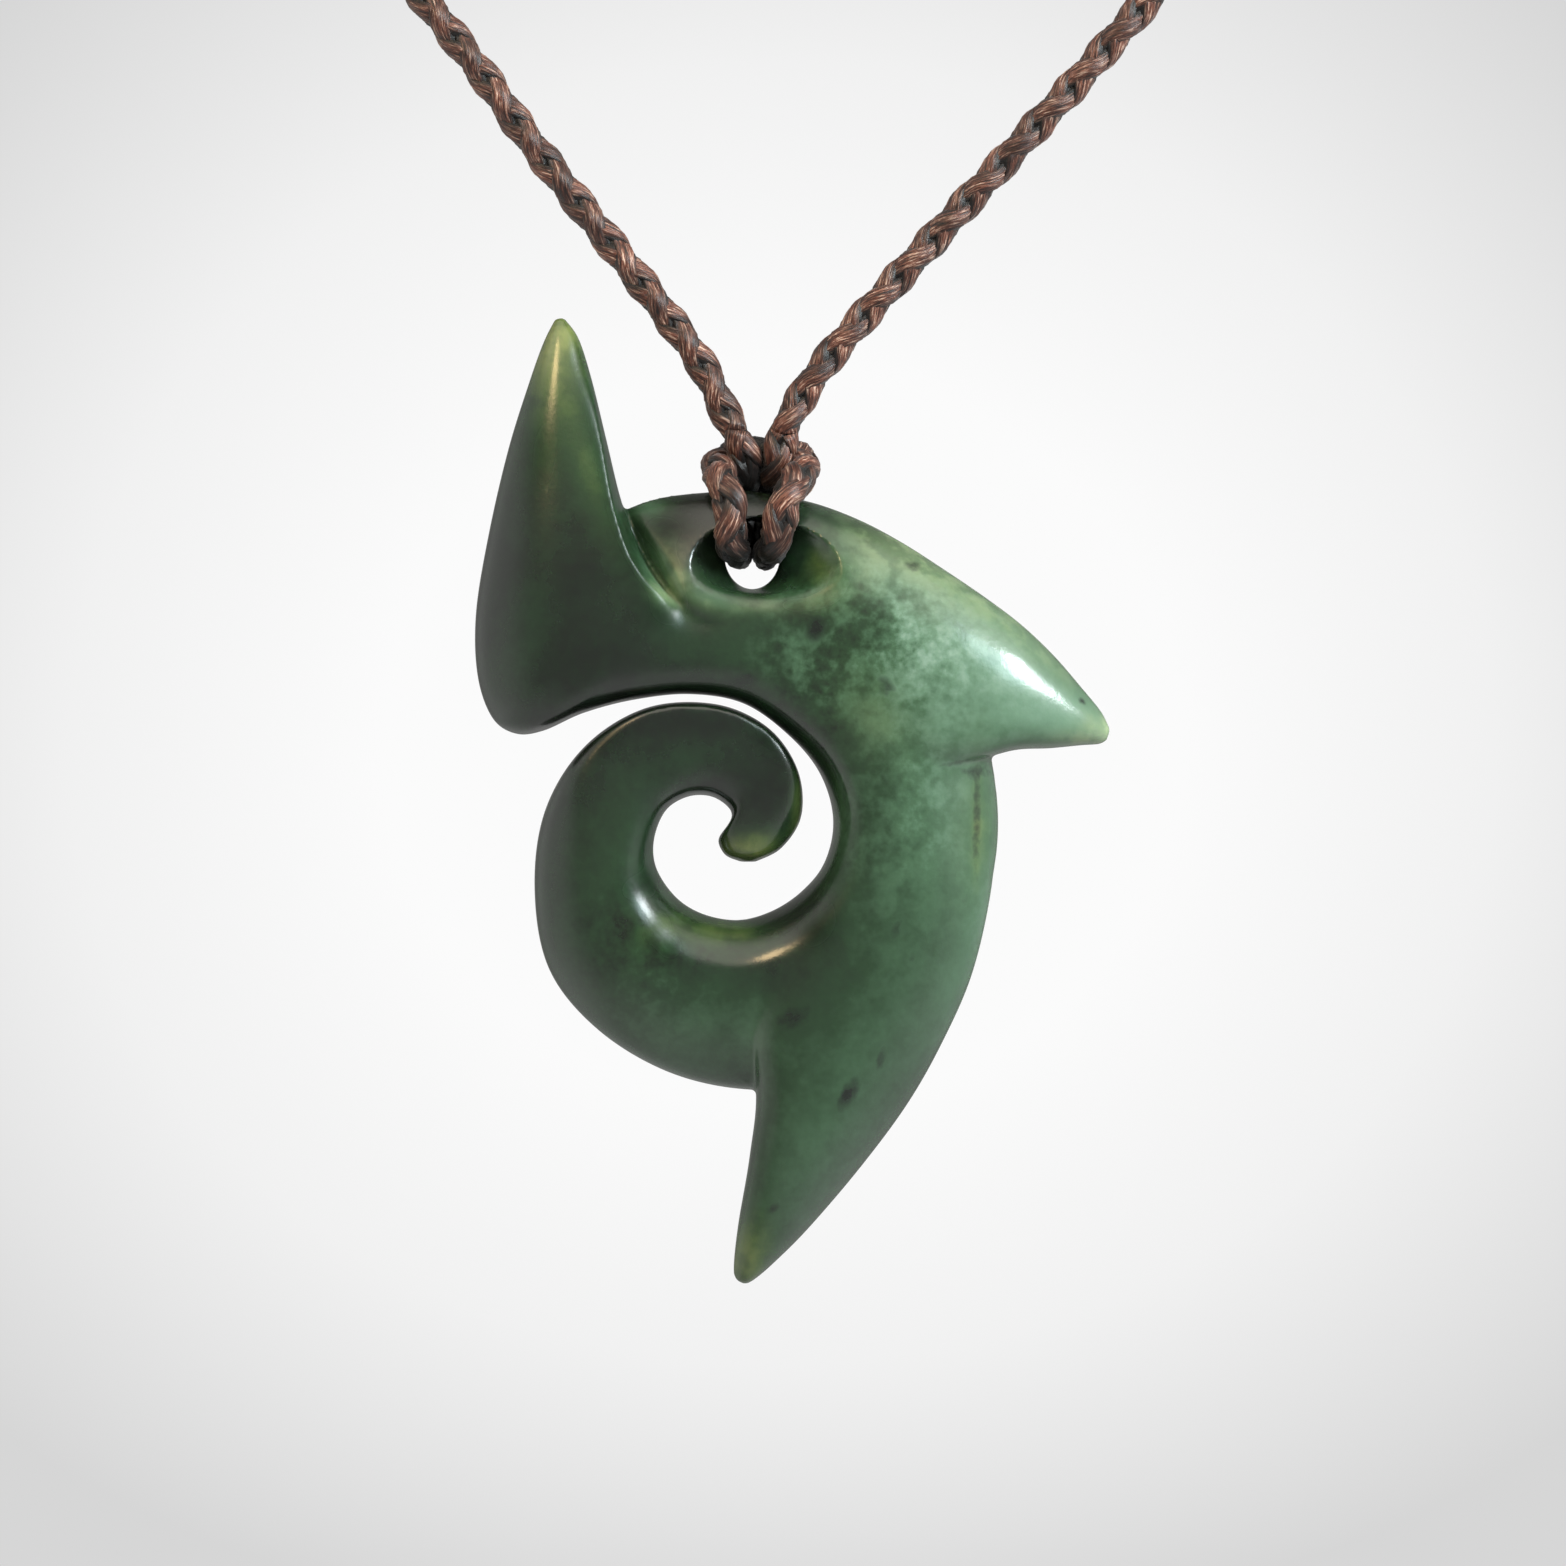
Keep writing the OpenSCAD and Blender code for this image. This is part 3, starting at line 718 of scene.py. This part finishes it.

# %% [markdown]
# ## Colour in the stone
#
# Nephrite is a felt of fine fibres, coloured by iron. This piece runs from a deep bottle green on the left
# to a pale sage on the right, which turns olive along the upper edge. There is cloudy mottling near the
# second horn, there are a few dark flecks, and the tips are so thin that light gets through and turns them
# yellow-green. Where each of these lies is a matter of this one stone, so it is painted on: a short
# table of soft oval spots for each tint, kept as an attribute of the mesh. Some of these spots are painted
# light rather than tint: the glow of the thin tips, the grey-beige reflection round the hole's lower lip,
# lifts on a few shaded walls and the shade in the crease under the second horn. The shader then breaks their
# edges up with noise, at the grain of the real stone.

# %% Spots of tint
# [x, z, half length, half width, turn in degrees, strength], in millimetres from the middle of the hole.
# First, where the green is paler. Most of this is the stone's own colour; the small rows round the hole's
# lip, beside the foot of the first horn and on the ridge under the spiral are painted light, lifting shade
# and standing in for the grey reflection there.
SAGE_AND_PAINTED_LIGHT_SPOTS = [
    [15.5, -6.8, 9.5, 5.5, -36, 0.72],
    [21.6, -10.9, 5, 2, -22, 0.64],
    [8, -0.8, 5, 2.2, -25, 0.36],
    [11, -8, 5, 5, 0, 0.3],
    [11.5, -16, 8, 4.5, -85, 0.46],
    [15.2, -21, 9, 2.2, -88, 0.36],
    [9.5, -23.5, 6, 5, -95, 0.2],
    [8, -32, 8, 5, -115, 0.23],
    [3.5, -41.5, 9, 4.5, -120, 0.34],
    [-5.5, -32, 8, 4, -20, 0.26],
    [-12.5, -23, 8, 3, 80, 0.14],
    [2, -7, 4, 3, 0, 0.28],
    [-4, -2, 6, 3, 0, 0.12],
    [-13.8, 9.5, 6, 3, 80, 0.15],
    [-16, -6, 8, 2, 80, 0.12],
    [-11.3, 6, 6, 1.5, -76, 0.2],
    [-7.2, -0.6, 2.5, 0.9, -60, 0.5],
    [-6.4, -2.3, 1.4, 0.8, -45, 0.3],
    [-7.5, 3.4, 1.6, 0.8, 10, 0.42],
    [-4.6, -1.9, 2.2, 0.9, -40, 0.15],
    [-2.7, -3, 1.8, 0.7, -15, 0.35],
    [2.5, -2.8, 2, 0.9, 15, 0.35],
    [5.6, -2.1, 1.4, 0.8, 40, 0.3],
    [-1.5, -30.5, 6, 3, -20, 0.16],
    [12, -31, 5, 2.5, -115, 0.12],
    [14.2, -27, 7, 1.4, -110, 0.22],
    [-6.5, -33.8, 7, 1.6, -25, 0.18],
    [-0.4, -32.8, 3, 0.8, 88, 0.2],
    [-4, -6.3, 4.5, 2.5, 0, 0.12],
    [-9, -20, 5, 2.2, 85, 0.2],
    [-5, -14, 3.5, 1.5, 20, 0.12],
    [5.8, -18.5, 5, 1.2, -88, 0.25],
]
# Where the green turns to olive. The rows round the lower lip of the hole, from [-5.6, -0.8] to
# [4.2, -2.9], are painted reflection: the grey-beige band where the lip mirrors the ceiling light.
OLIVE_AND_PAINTED_REFLECTION_SPOTS = [
    [17, -4.6, 8, 1.3, -40, 0.6],
    [9.5, 0.3, 5, 1.6, -28, 0.6],
    [7, -1.2, 2.2, 2.4, 0, 0.42],
    [-5.6, -0.8, 2.4, 1, -70, 0.4],
    [-6.4, -2.3, 1.4, 0.8, -45, 0.65],
    [-4, -2.9, 2, 0.7, -35, 0.36],
    [-0.3, -3.35, 3.6, 0.6, 0, 0.4],
    [4.2, -2.9, 2.2, 0.6, 20, 0.2],
    [12.5, -3, 4, 2, -35, 0.25],
    [23.8, -12, 2, 1.6, -25, 1],
    [21.2, -12.5, 2.2, 0.8, 0, 0.5],
    [8, -11, 3, 2, -60, 0.35],
    [14.6, -17.5, 4.5, 1.4, 88, 0.3],
]
# Where light and dark patches lie close together.
MOTTLED_SPOTS = [
    [8.5, -5, 6, 4.5, -30, 1],
    [4.5, -8, 4, 3, -40, 0.8],
    [9.5, -17, 7, 4, -90, 0.35],
    [-8, -26.5, 4, 3, -40, 0.5],
]
# Painted glow: colour that stands in for light coming through a thin tip or edge, and for light on a few
# shaded walls, such as the right wall of the funnel.
PAINTED_GLOW_SPOTS = [
    [-13.9, 15.4, 4.5, 2.4, 80, 0.8],
    [-13.6, 10.5, 4.5, 2.4, 80, 0.25],
    [-11.6, 5.5, 4.5, 1, -74, 0.35],
    [-1.1, -48.6, 3.5, 2, 80, 0.45],
    [-0.9, -19.9, 2.4, 1.4, 10, 0.7],
    [2.6, -17, 3.5, 0.6, 85, 0.6],
    [-2.5, -25.6, 4, 1.2, -8, 0.42],
    [-7, -25.2, 2.5, 1.5, 50, 0.3],
    [4.3, -0.6, 1.6, 1.8, 0, 0.52],
    [7.5, -9, 4, 2.5, -60, 0.2],
    [15, -19.5, 4, 1.2, 88, 0.3],
    [14.75, -17.8, 4.5, 0.45, 89, 0.45],
    [-0.5, -47, 3, 1.5, 80, 0.3],
]
# Flecks of a dark mineral, and the thin vein down the right side. The rows at [14.8, -14.6] and
# [13.6, -13.95] are painted shade: the wedge and the crease under the second horn.
DARK_FLECK_AND_SHADE_SPOTS = [
    [3.8, -4.9, 1.1, 0.8, 70, 1],
    [8.5, -8.8, 0.9, 0.6, -60, 0.9],
    [10.4, -0.6, 0.8, 0.5, -20, 0.8],
    [-1, -8.4, 1.3, 0.6, 15, 0.8],
    [-6, -7.6, 1, 0.4, 5, 0.6],
    [22, -9.8, 0.45, 0.25, -45, 0.85],
    [9.2, -25.4, 0.9, 0.4, 60, 0.7],
    [10.4, -27.1, 0.7, 0.4, 60, 0.5],
    [6, -36.5, 1.4, 0.6, 60, 1],
    [8.2, -34.2, 0.9, 0.4, 70, 0.8],
    [2.2, -31.3, 1.6, 0.9, 30, 0.8],
    [0.9, -44.3, 0.7, 0.4, 30, 0.8],
    [14, -23.3, 0.8, 0.4, 60, 0.5],
    [14.75, -17.8, 4.2, 0.34, 89, 0.78],
    [14.8, -14.6, 1.4, 0.55, 0, 0.75],
    [13.6, -13.95, 2, 0.25, 10, 0.6],
    [-5.6, -7.4, 1, 0.6, 10, 0.6],
    [-13.2, -27.5, 1.5, 1, 40, 0.4],
]
# Where the file's or the sanding drum's finish was left, without the last polish.
MATTE_SPOTS = [
    [-11.9, 12, 4, 0.9, -76, 0.7],
    [-10.7, 7, 4, 0.9, -76, 0.8],
    [-9.6, 2.8, 3, 1, -72, 0.8],
    [-8.2, -0.3, 2.4, 1.1, -60, 0.65],
    [-6.6, -2.2, 2.2, 1, -45, 0.9],
    [-6.4, -3.8, 1.6, 1.2, -35, 0.9],
    [-14.6, 7, 3.5, 1.3, 85, 0.9],
    [-10.4, -12.2, 2.6, 0.8, 45, 0.8],
    [-7.4, -20, 3.5, 0.8, 92, 0.8],
    [-8.35, -22.45, 1.1, 1.5, -60, 1],
    [-7.05, -25.2, 1.1, 1.5, -40, 1],
    [-6.1, -26.5, 1.1, 1.1, 0, 1],
    [-0.1, -41, 6.5, 0.9, -98, 0.6],
    [3.8, -25.4, 1.8, 1.1, 40, 1],
    [5.4, -22, 4.5, 0.9, 72, 0.6],
    [0.5, -12.3, 1.6, 0.8, -50, 0.9],
    [-6, -0.3, 2.7, 0.8, -66, 0.85],
    [-6.4, 1.9, 2, 1.5, 0, 0.8],
    [5.4, -1.6, 1.8, 0.9, 60, 1],
    [4.2, -2.9, 1.5, 0.7, 20, 0.9],
    [8.4, -2, 2, 1.2, -20, 0.5],
    [2.4, -3.3, 1.4, 0.7, 0, 0.8],
    [-1.5, -3, 3.5, 0.8, 0, 0.3],
]


def paint(name, table, together=True):
    """Keeps how far each point lies inside a table's ovals as an attribute of the stone."""
    layer = koru.data.attributes.new(name, "FLOAT", "POINT")
    layer.data.foreach_set("value", oval_share(points, table, together).astype(np.float32))
    print(f"{name}: {len(table)} ovals")


paint("sage", SAGE_AND_PAINTED_LIGHT_SPOTS)
paint("mottled", MOTTLED_SPOTS)
paint("olive", OLIVE_AND_PAINTED_REFLECTION_SPOTS)
# The attribute glow carries the painted glow.
paint("glow", PAINTED_GLOW_SPOTS)
paint("dark", DARK_FLECK_AND_SHADE_SPOTS, together=False)
paint("matte", MATTE_SPOTS)

# %% [markdown]
# ## Polished nephrite
#
# Nephrite has an index of refraction of about 1.61 and takes a soft, slightly greasy polish, so its lights
# have grainy edges. Light enters the surface, scatters for a millimetre or two and comes out green, so the
# shader is a scattering body under its own gloss. The grain of the polish is finer than a hundredth of a
# millimetre in depth; it is drawn 0.3 mm wide, as coarse as it needs to be to show.

# %% Nephrite material
# Sizes and depths are in millimetres.
CLOUD_SIZE = 8.0
PATCH_SIZE = 1.7
SPECK_SIZE = 0.5
GRAIN_SIZE = 0.3
GRAIN_DEPTH = 0.02
SCATTER_DEPTH = 1.2
# How wide the step from a light patch to a dark one is, in the noise's own units.
PATCH_EDGE = 0.12
# How much each noise changes the depth of the green, and how strongly patches and specks break it up in
# the plain stone and, on top of that, where it is mottled.
CLOUD_WEIGHT = 0.16
PATCH_WEIGHT = 0.35
SPECK_WEIGHT = 0.8
PLAIN_BREAK = 0.12
MOTTLED_BREAK = 0.8
# The even part of the olive, and how much the patches change it and the painted glow.
OLIVE_EVEN = 0.7
OLIVE_PATCHY = 0.6
PAINTED_GLOW_PATCHY = 0.3
# How dark a fleck's spot has to be before it shows, and how fast it then gains on the green.
FLECK_START = 0.35
FLECK_CONTRAST = 1.7
POLISHED_ROUGHNESS = 0.2
MATTE_ROUGHNESS = 0.32
POLISHED_GLOSS = 0.5
MATTE_GLOSS = 0.07


def nephrite():
    """Polished nephrite jade: a body from near-black green to sage and olive, with mottles, flecks, painted
    glow at the tips and matte hollows, and some painted reflection and shade among the tints."""
    material, tree, shader = new_material("polished_nephrite_jade")
    where = add(tree, "TexCoord", out="Object")
    sage, mottled, olive, glow, dark, matte = (
        add(tree, "Attribute", out="Fac", attribute_name=name)
        for name in ("sage", "mottled", "olive", "glow", "dark", "matte"))
    # Noise of four sizes, each less its middle, so that it lightens as much as it darkens.
    cloud, patch, speck, grain = (
        add(tree, "Math", {
            0: add(tree, "TexNoise", {"Vector": where, "Scale": 1 / (size * MM), "Detail": detail}),
            1: 0.5,
        }, operation="SUBTRACT")
        for size, detail in ((CLOUD_SIZE, 3), (PATCH_SIZE, 6), (SPECK_SIZE, 3), (GRAIN_SIZE, 2)))

    # The patches are crisp: light or dark, with a narrow step between.
    step = {"Value": patch, "From Min": -PATCH_EDGE, "From Max": PATCH_EDGE, "To Min": -0.5, "To Max": 0.5}
    patch = add(tree, "MapRange", step, interpolation_type="SMOOTHSTEP")

    # Depth of the green: the painted sage, broken up by the patches and specks most where it is mottled.
    broken = add(tree, "Math", {0: patch, 1: PATCH_WEIGHT}, operation="MULTIPLY")
    broken = add(tree, "Math", {0: speck, 1: SPECK_WEIGHT, 2: broken}, operation="MULTIPLY_ADD")
    amount = add(tree, "Math", {0: mottled, 1: MOTTLED_BREAK, 2: PLAIN_BREAK}, operation="MULTIPLY_ADD")
    tone = add(tree, "Math", {0: broken, 1: amount, 2: sage}, operation="MULTIPLY_ADD")
    tone = add(tree, "Math", {0: cloud, 1: CLOUD_WEIGHT, 2: tone}, operation="MULTIPLY_ADD")
    green = add(tree, "ValToRGB", {"Fac": tone}, stops=[
        (0.0, "#141a14"), (0.25, "#213723"), (0.5, "#3e5b43"), (0.75, "#617f69"), (1.0, "#849e8d")])

    # Olive, in patches of its own; round the hole's lower lip it is a painted reflection.
    share = add(tree, "Math", {0: patch, 1: OLIVE_PATCHY, 2: OLIVE_EVEN}, operation="MULTIPLY_ADD")
    share = add(tree, "Math", {0: olive, 1: share}, operation="MULTIPLY", use_clamp=True)
    tan = add(tree, "ValToRGB", {"Fac": olive}, stops=[
        (0.2, "#5e7253"), (0.6, "#7b8b66"), (1.0, "#aab68b")])
    green = add(tree, "Mix", {FACTOR: share, UNDER: green, OVER: tan}, MIXED, data_type="RGBA")

    # Painted glow: colour standing in for light that comes through the thin tips and edges, uneven with the
    # patches.
    lit = add(tree, "Math", {0: patch, 1: PAINTED_GLOW_PATCHY, 2: 1.0}, operation="MULTIPLY_ADD")
    lit = add(tree, "Math", {0: glow, 1: lit}, operation="MULTIPLY", use_clamp=True)
    warm = add(tree, "ValToRGB", {"Fac": lit}, stops=[
        (0.2, "#30502a"), (0.55, "#586b36"), (1.0, "#7f864c")])
    green_with_painted_glow = add(tree, "Mix", {FACTOR: lit, UNDER: green, OVER: warm}, MIXED, data_type="RGBA")

    # Flecks of a dark mineral, ragged at the edge, and the painted shade in the crease under the second
    # horn.
    ragged = add(tree, "Math", {0: speck, 1: SPECK_WEIGHT, 2: dark}, operation="MULTIPLY_ADD")
    ragged = add(tree, "Math", {0: ragged, 1: FLECK_START}, operation="SUBTRACT")
    fleck = add(tree, "Math", {0: ragged, 1: FLECK_CONTRAST}, operation="MULTIPLY", use_clamp=True)
    colour = add(tree, "Mix", {FACTOR: fleck, UNDER: green_with_painted_glow, OVER: linear("#141b16")}, MIXED,
                 data_type="RGBA")

    # The gloss of the polish, dulled in the hollows.
    rough = add(tree, "MapRange", {"Value": matte, "To Min": POLISHED_ROUGHNESS, "To Max": MATTE_ROUGHNESS})
    gloss = add(tree, "MapRange", {"Value": matte, "To Min": POLISHED_GLOSS, "To Max": MATTE_GLOSS})
    bump = add(tree, "Bump", {"Height": grain, "Strength": 0.4, "Distance": GRAIN_DEPTH * MM})
    feed(tree, shader, {
        "Base Color": colour, "Roughness": rough, "Specular IOR Level": gloss, "Normal": bump, "IOR": 1.61,
        "Subsurface Weight": 0.25, "Subsurface Radius": (0.6, 1.0, 0.5),
        "Subsurface Scale": SCATTER_DEPTH * MM,
    })
    return material


jade = nephrite()
koru.data.materials.clear()
koru.data.materials.append(jade)
print(f"{jade.name}: {len(jade.node_tree.nodes)} nodes")

# %% [markdown]
# ## Waxed cord
#
# The plait is made from polyester or cotton yarn dressed with brown wax. Its filaments run along each
# strand. The small pale glints where they turn to the light are painted highlights, a pale colour on some
# filaments, and the nearly black gaps between strands are painted shade. The pattern follows the strand, so
# it reads the attribute that went with the grid: the turn round the strand as a cosine and a sine, which has
# no seam, and the distance along it. Real filaments are 0.02 mm thick; they are drawn about 0.12 mm thick,
# as fine as the picture can hold. Wax has an index of about 1.46.

# %% Cord material
FILAMENTS_ROUND = 6.5
GLINT_LENGTH = 0.8
WORN_SCALE = 0.6
FILAMENT_DEPTH = 0.1


def waxed_yarn(name, dark, middle, light, painted_glint):
    """Waxed yarn: filaments along the strand, with painted shade between them and painted glints on top."""
    material, tree, shader = new_material(name)
    fibre = add(tree, "Attribute", out="Vector", attribute_name="fibre")
    outer = add(tree, "Attribute", out="Fac", attribute_name="outer")
    stretch = (FILAMENTS_ROUND, FILAMENTS_ROUND, 1 / GLINT_LENGTH)
    lay = add(tree, "Mapping", {"Vector": fibre, "Scale": stretch})
    lines = add(tree, "TexNoise", {"Vector": lay, "Scale": 1.0, "Detail": 4, "Roughness": 0.65})
    patches = add(tree, "TexNoise", {"Vector": fibre, "Scale": WORN_SCALE, "Detail": 2})
    # The last stop is a painted glint: pale colour on random filaments in place of highlights.
    thread = add(tree, "ValToRGB", {"Fac": lines}, stops=[
        (0.36, dark), (0.46, middle), (0.56, light), (0.66, painted_glint)])
    worn = add(tree, "ValToRGB", {"Fac": patches}, stops=[(0.35, "#8f8480"), (0.65, "#ffffff")])
    # Painted shade: dark where unshaded is low, between strands, between turns of thread and deep in the
    # knot and the hole.
    gap = add(tree, "ValToRGB", {"Fac": outer}, stops=[(0.1, "#26201e"), (0.75, "#ffffff")])
    shade = add(tree, "Mix", {FACTOR: 1.0, UNDER: worn, OVER: gap}, MIXED, data_type="RGBA",
                blend_type="MULTIPLY")
    colour = add(tree, "Mix", {FACTOR: 1.0, UNDER: thread, OVER: shade}, MIXED, data_type="RGBA",
                 blend_type="MULTIPLY")
    bump = add(tree, "Bump", {"Height": lines, "Strength": 0.7, "Distance": FILAMENT_DEPTH * MM})
    feed(tree, shader, {
        "Base Color": colour, "Normal": bump, "Roughness": 0.36, "IOR": 1.46,
        "Sheen Weight": 0.12, "Sheen Roughness": 0.4,
    })
    return material


# The last colour of each yarn is its painted glint.
cord_yarn = waxed_yarn("waxed_plaited_cord", "#130906", "#4a261b", "#7d4d3d", "#d6b8a4")
whipping_yarn = waxed_yarn("waxed_whipping_thread", "#110a07", "#2e1d17", "#4a332a", "#7f675a")
for piece in (left_cord, right_cord, hitch):
    piece.data.materials.append(cord_yarn)
nape_join.data.materials.append(whipping_yarn)
print(f"{cord_yarn.name}: {len(cord_yarn.node_tree.nodes)} nodes")

# %% [markdown]
# ## Stage and light
#
# The photograph has no visible floor, only white that greys towards its corners. A small round room does for
# every view: its pale floor runs up into the wall, and the wall into the ceiling, with no corner anywhere.
# The greying is painted on the wall as a soft round gradient, before and behind the stone. The room shows
# only from its inside, so a camera outside it looks through the near wall.

# %% Round room
ROOM_RADIUS = 1300.0
FLOOR_Z = -420.0
CEILING_Z = 1300.0
ROOM_SQUARENESS = 6.0


def round_room(name, rows=64, columns=96):
    """Surface of revolution of a squared oval: radius R cos(t)^(2/p), and height H |sin(t)|^(2/p) up or down
    from the middle, as t runs from the middle of the floor to the middle of the ceiling."""
    t = np.linspace(-np.pi / 2, np.pi / 2, rows)[1:-1, None]
    angle = np.linspace(0, 2 * np.pi, columns, endpoint=False)[None]
    radius = ROOM_RADIUS * np.cos(t) ** (2 / ROOM_SQUARENESS)
    half, middle = (CEILING_Z - FLOOR_Z) / 2, (CEILING_Z + FLOOR_Z) / 2
    height = middle + half * np.sign(t) * np.abs(np.sin(t)) ** (2 / ROOM_SQUARENESS)
    points = np.stack([radius * np.cos(angle), radius * -np.sin(angle), height + 0 * angle], axis=-1)
    return skin(name, points)


def paper():
    """Seamless paper: white in the middle of the view and greyer away from it, clear from behind."""
    material, tree, shader = new_material("seamless_paper")
    where = add(tree, "TexCoord", out="Object")
    mirrored = add(tree, "VectorMath", {0: where}, operation="ABSOLUTE")
    x, z = (add(tree, "SeparateXYZ", {0: where}, out=name) for name in "XZ")
    depth = add(tree, "SeparateXYZ", {0: mirrored}, out="Y")
    place = add(tree, "CombineXYZ", {0: x, 1: depth, 2: z})
    centre = (view_x * MM, ROOM_RADIUS * MM, view_z * MM)
    distance = add(tree, "VectorMath", {0: place, 1: centre}, out="Value", operation="DISTANCE")
    reach = field * math.sqrt(2) / 2 * MM * (CAMERA_DISTANCE + ROOM_RADIUS) / CAMERA_DISTANCE
    far = add(tree, "Math", {0: distance, 1: reach}, operation="DIVIDE")
    tone = add(tree, "ValToRGB", {"Fac": far}, stops=[
        (0.38, "#fbfbfb"), (0.65, "#f1f1f1"), (1.0, "#d6d6d6")])
    glow = add(tree, "Emission", {"Color": tone, "Strength": 1.0})
    clear = add(tree, "BsdfTransparent")
    behind = add(tree, "NewGeometry", out="Backfacing")
    seen = add(tree, "MixShader", {0: behind, 1: glow, 2: clear})
    tree.links.new(seen, tree.nodes["Material Output"].inputs["Surface"])
    tree.nodes.remove(shader)
    return material


paper_room = round_room("paper_room")
paper_room.data.materials.append(paper())
paper_room.visible_diffuse = False
paper_room.visible_glossy = False
paper_room.visible_transmission = False
paper_room.visible_shadow = False
print(f"paper room: {faces_in(paper_room)} faces")

# %% [markdown]
# The stone's own look comes from what it mirrors. Its front faces the camera and the dim room behind it, so
# it shows the deep colour of the stone. What leans up mirrors a wide pale ceiling light, what leans left or
# right a grey wall, and what leans down a grey floor. A cool key lamp on the right makes the long light on
# the second horn and the star beside the spiral's opening, and a wider, fainter one beside it gives that
# light its halo. A small warm lamp high on the left makes the golden lights on the first tip and under the
# spiral. The paper is lit on its own and throws no light on the stone, so that the rims stay as dark as
# they are.

# %% Light by direction, and lamps
AIM = np.array([2.0, 0.0, hole_z - 16.0])
DIM_FRONT = "#959593"
# Each light is [axis, where it starts, where it is full, colour, strength, stops behind the stone]; where it
# is full may be the smaller of the two.
LIGHTS = [
    ("Z", 0.40, 0.60, "#f3ece0", 1.8, True),
    ("X", -0.5, -1.0, "#f2f5f2", 0.68, False),
    ("X", 0.35, 0.9, "#f4faf8", 0.5, False),
    ("Z", -0.15, -0.8, "#f2f2f2", 0.5, False),
]
# Where the ceiling light starts and is full, from behind the stone to before it.
CEILING_EDGE = (0.1, -0.4)
# Each lamp is [name, direction from the stone, diameter in millimetres, watts, colour].
LAMPS = [
    ("key_lamp", (0.71, -0.54, 0.43), 165, 2.7, "#f2fbff"),
    ("key_halo", (0.56, -0.70, 0.42), 200, 0.65, "#d8f8ff"),
    ("warm_lamp", (-0.38, -0.73, 0.57), 135, 0.65, "#ffd9a0"),
]
LAMP_DISTANCE = 500.0


def room_light():
    """World as light by direction: dim in front, with a pale ceiling, a grey wall on the left and one on the
    right, and a grey floor. Each is a smooth step along one axis, and they add up."""
    world = bpy.data.worlds.new("studio_light")
    world.use_nodes = True
    tree = world.node_tree
    direction = add(tree, "TexCoord", out="Generated")
    axes = {name: add(tree, "SeparateXYZ", {0: direction}, out=name) for name in "XYZ"}
    step = {"Value": axes["Y"], "From Min": CEILING_EDGE[0], "From Max": CEILING_EDGE[1]}
    edge = add(tree, "MapRange", step, interpolation_type="SMOOTHSTEP")
    light = linear(DIM_FRONT)[:3]
    for axis, start, full, colour, strength, stops_behind in LIGHTS:
        most = edge if stops_behind else 1.0
        step = {"Value": axes[axis], "From Min": start, "From Max": full, "To Max": most}
        share = add(tree, "MapRange", step, interpolation_type="SMOOTHSTEP")
        full_light = [channel * strength for channel in linear(colour)[:3]]
        light = add(tree, "VectorMath", {0: full_light, 1: share, 2: light}, operation="MULTIPLY_ADD")
    tree.links.new(light, tree.nodes["Background"].inputs["Color"])
    bpy.context.scene.world = world


def lamp(name, direction, size, power, colour):
    """Round area lamp that looks at the stone from a direction, at the lamps' distance."""
    data = bpy.data.lights.new(name, "AREA")
    data.shape = "DISK"
    data.size = size * MM
    data.energy = power
    data.color = linear(colour)[:3]
    light = bpy.data.objects.new(name, data)
    toward = unit(np.array(direction, float))
    light.location = ((AIM + toward * LAMP_DISTANCE) * MM).tolist()
    light.rotation_euler = Vector(toward.tolist()).to_track_quat("Z", "Y").to_euler()
    bpy.context.scene.collection.objects.link(light)


room_light()
for row in LAMPS:
    lamp(*row)
print(f"{len(LIGHTS)} lights by direction and {len(LAMPS)} lamps")

# %% [markdown]
# ## Attach the pieces
#
# Every piece rides on the one body, and each stands for the plain solid that it was built on, which is
# hidden.

for piece, node, finish in (
    (koru, "pendant", "jade"),
    (hitch, "cord_hitch", "plaited_cord"),
    (left_cord, "cord_left", "plaited_cord"),
    (right_cord, "cord_right", "plaited_cord"),
    (nape_join, "nape_wrap", "whipping_thread"),
):
    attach(piece, "root")
    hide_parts(node)

for piece, rings in ((left_cord, slice(first, None, -1)), (right_cord, slice(last, None))):
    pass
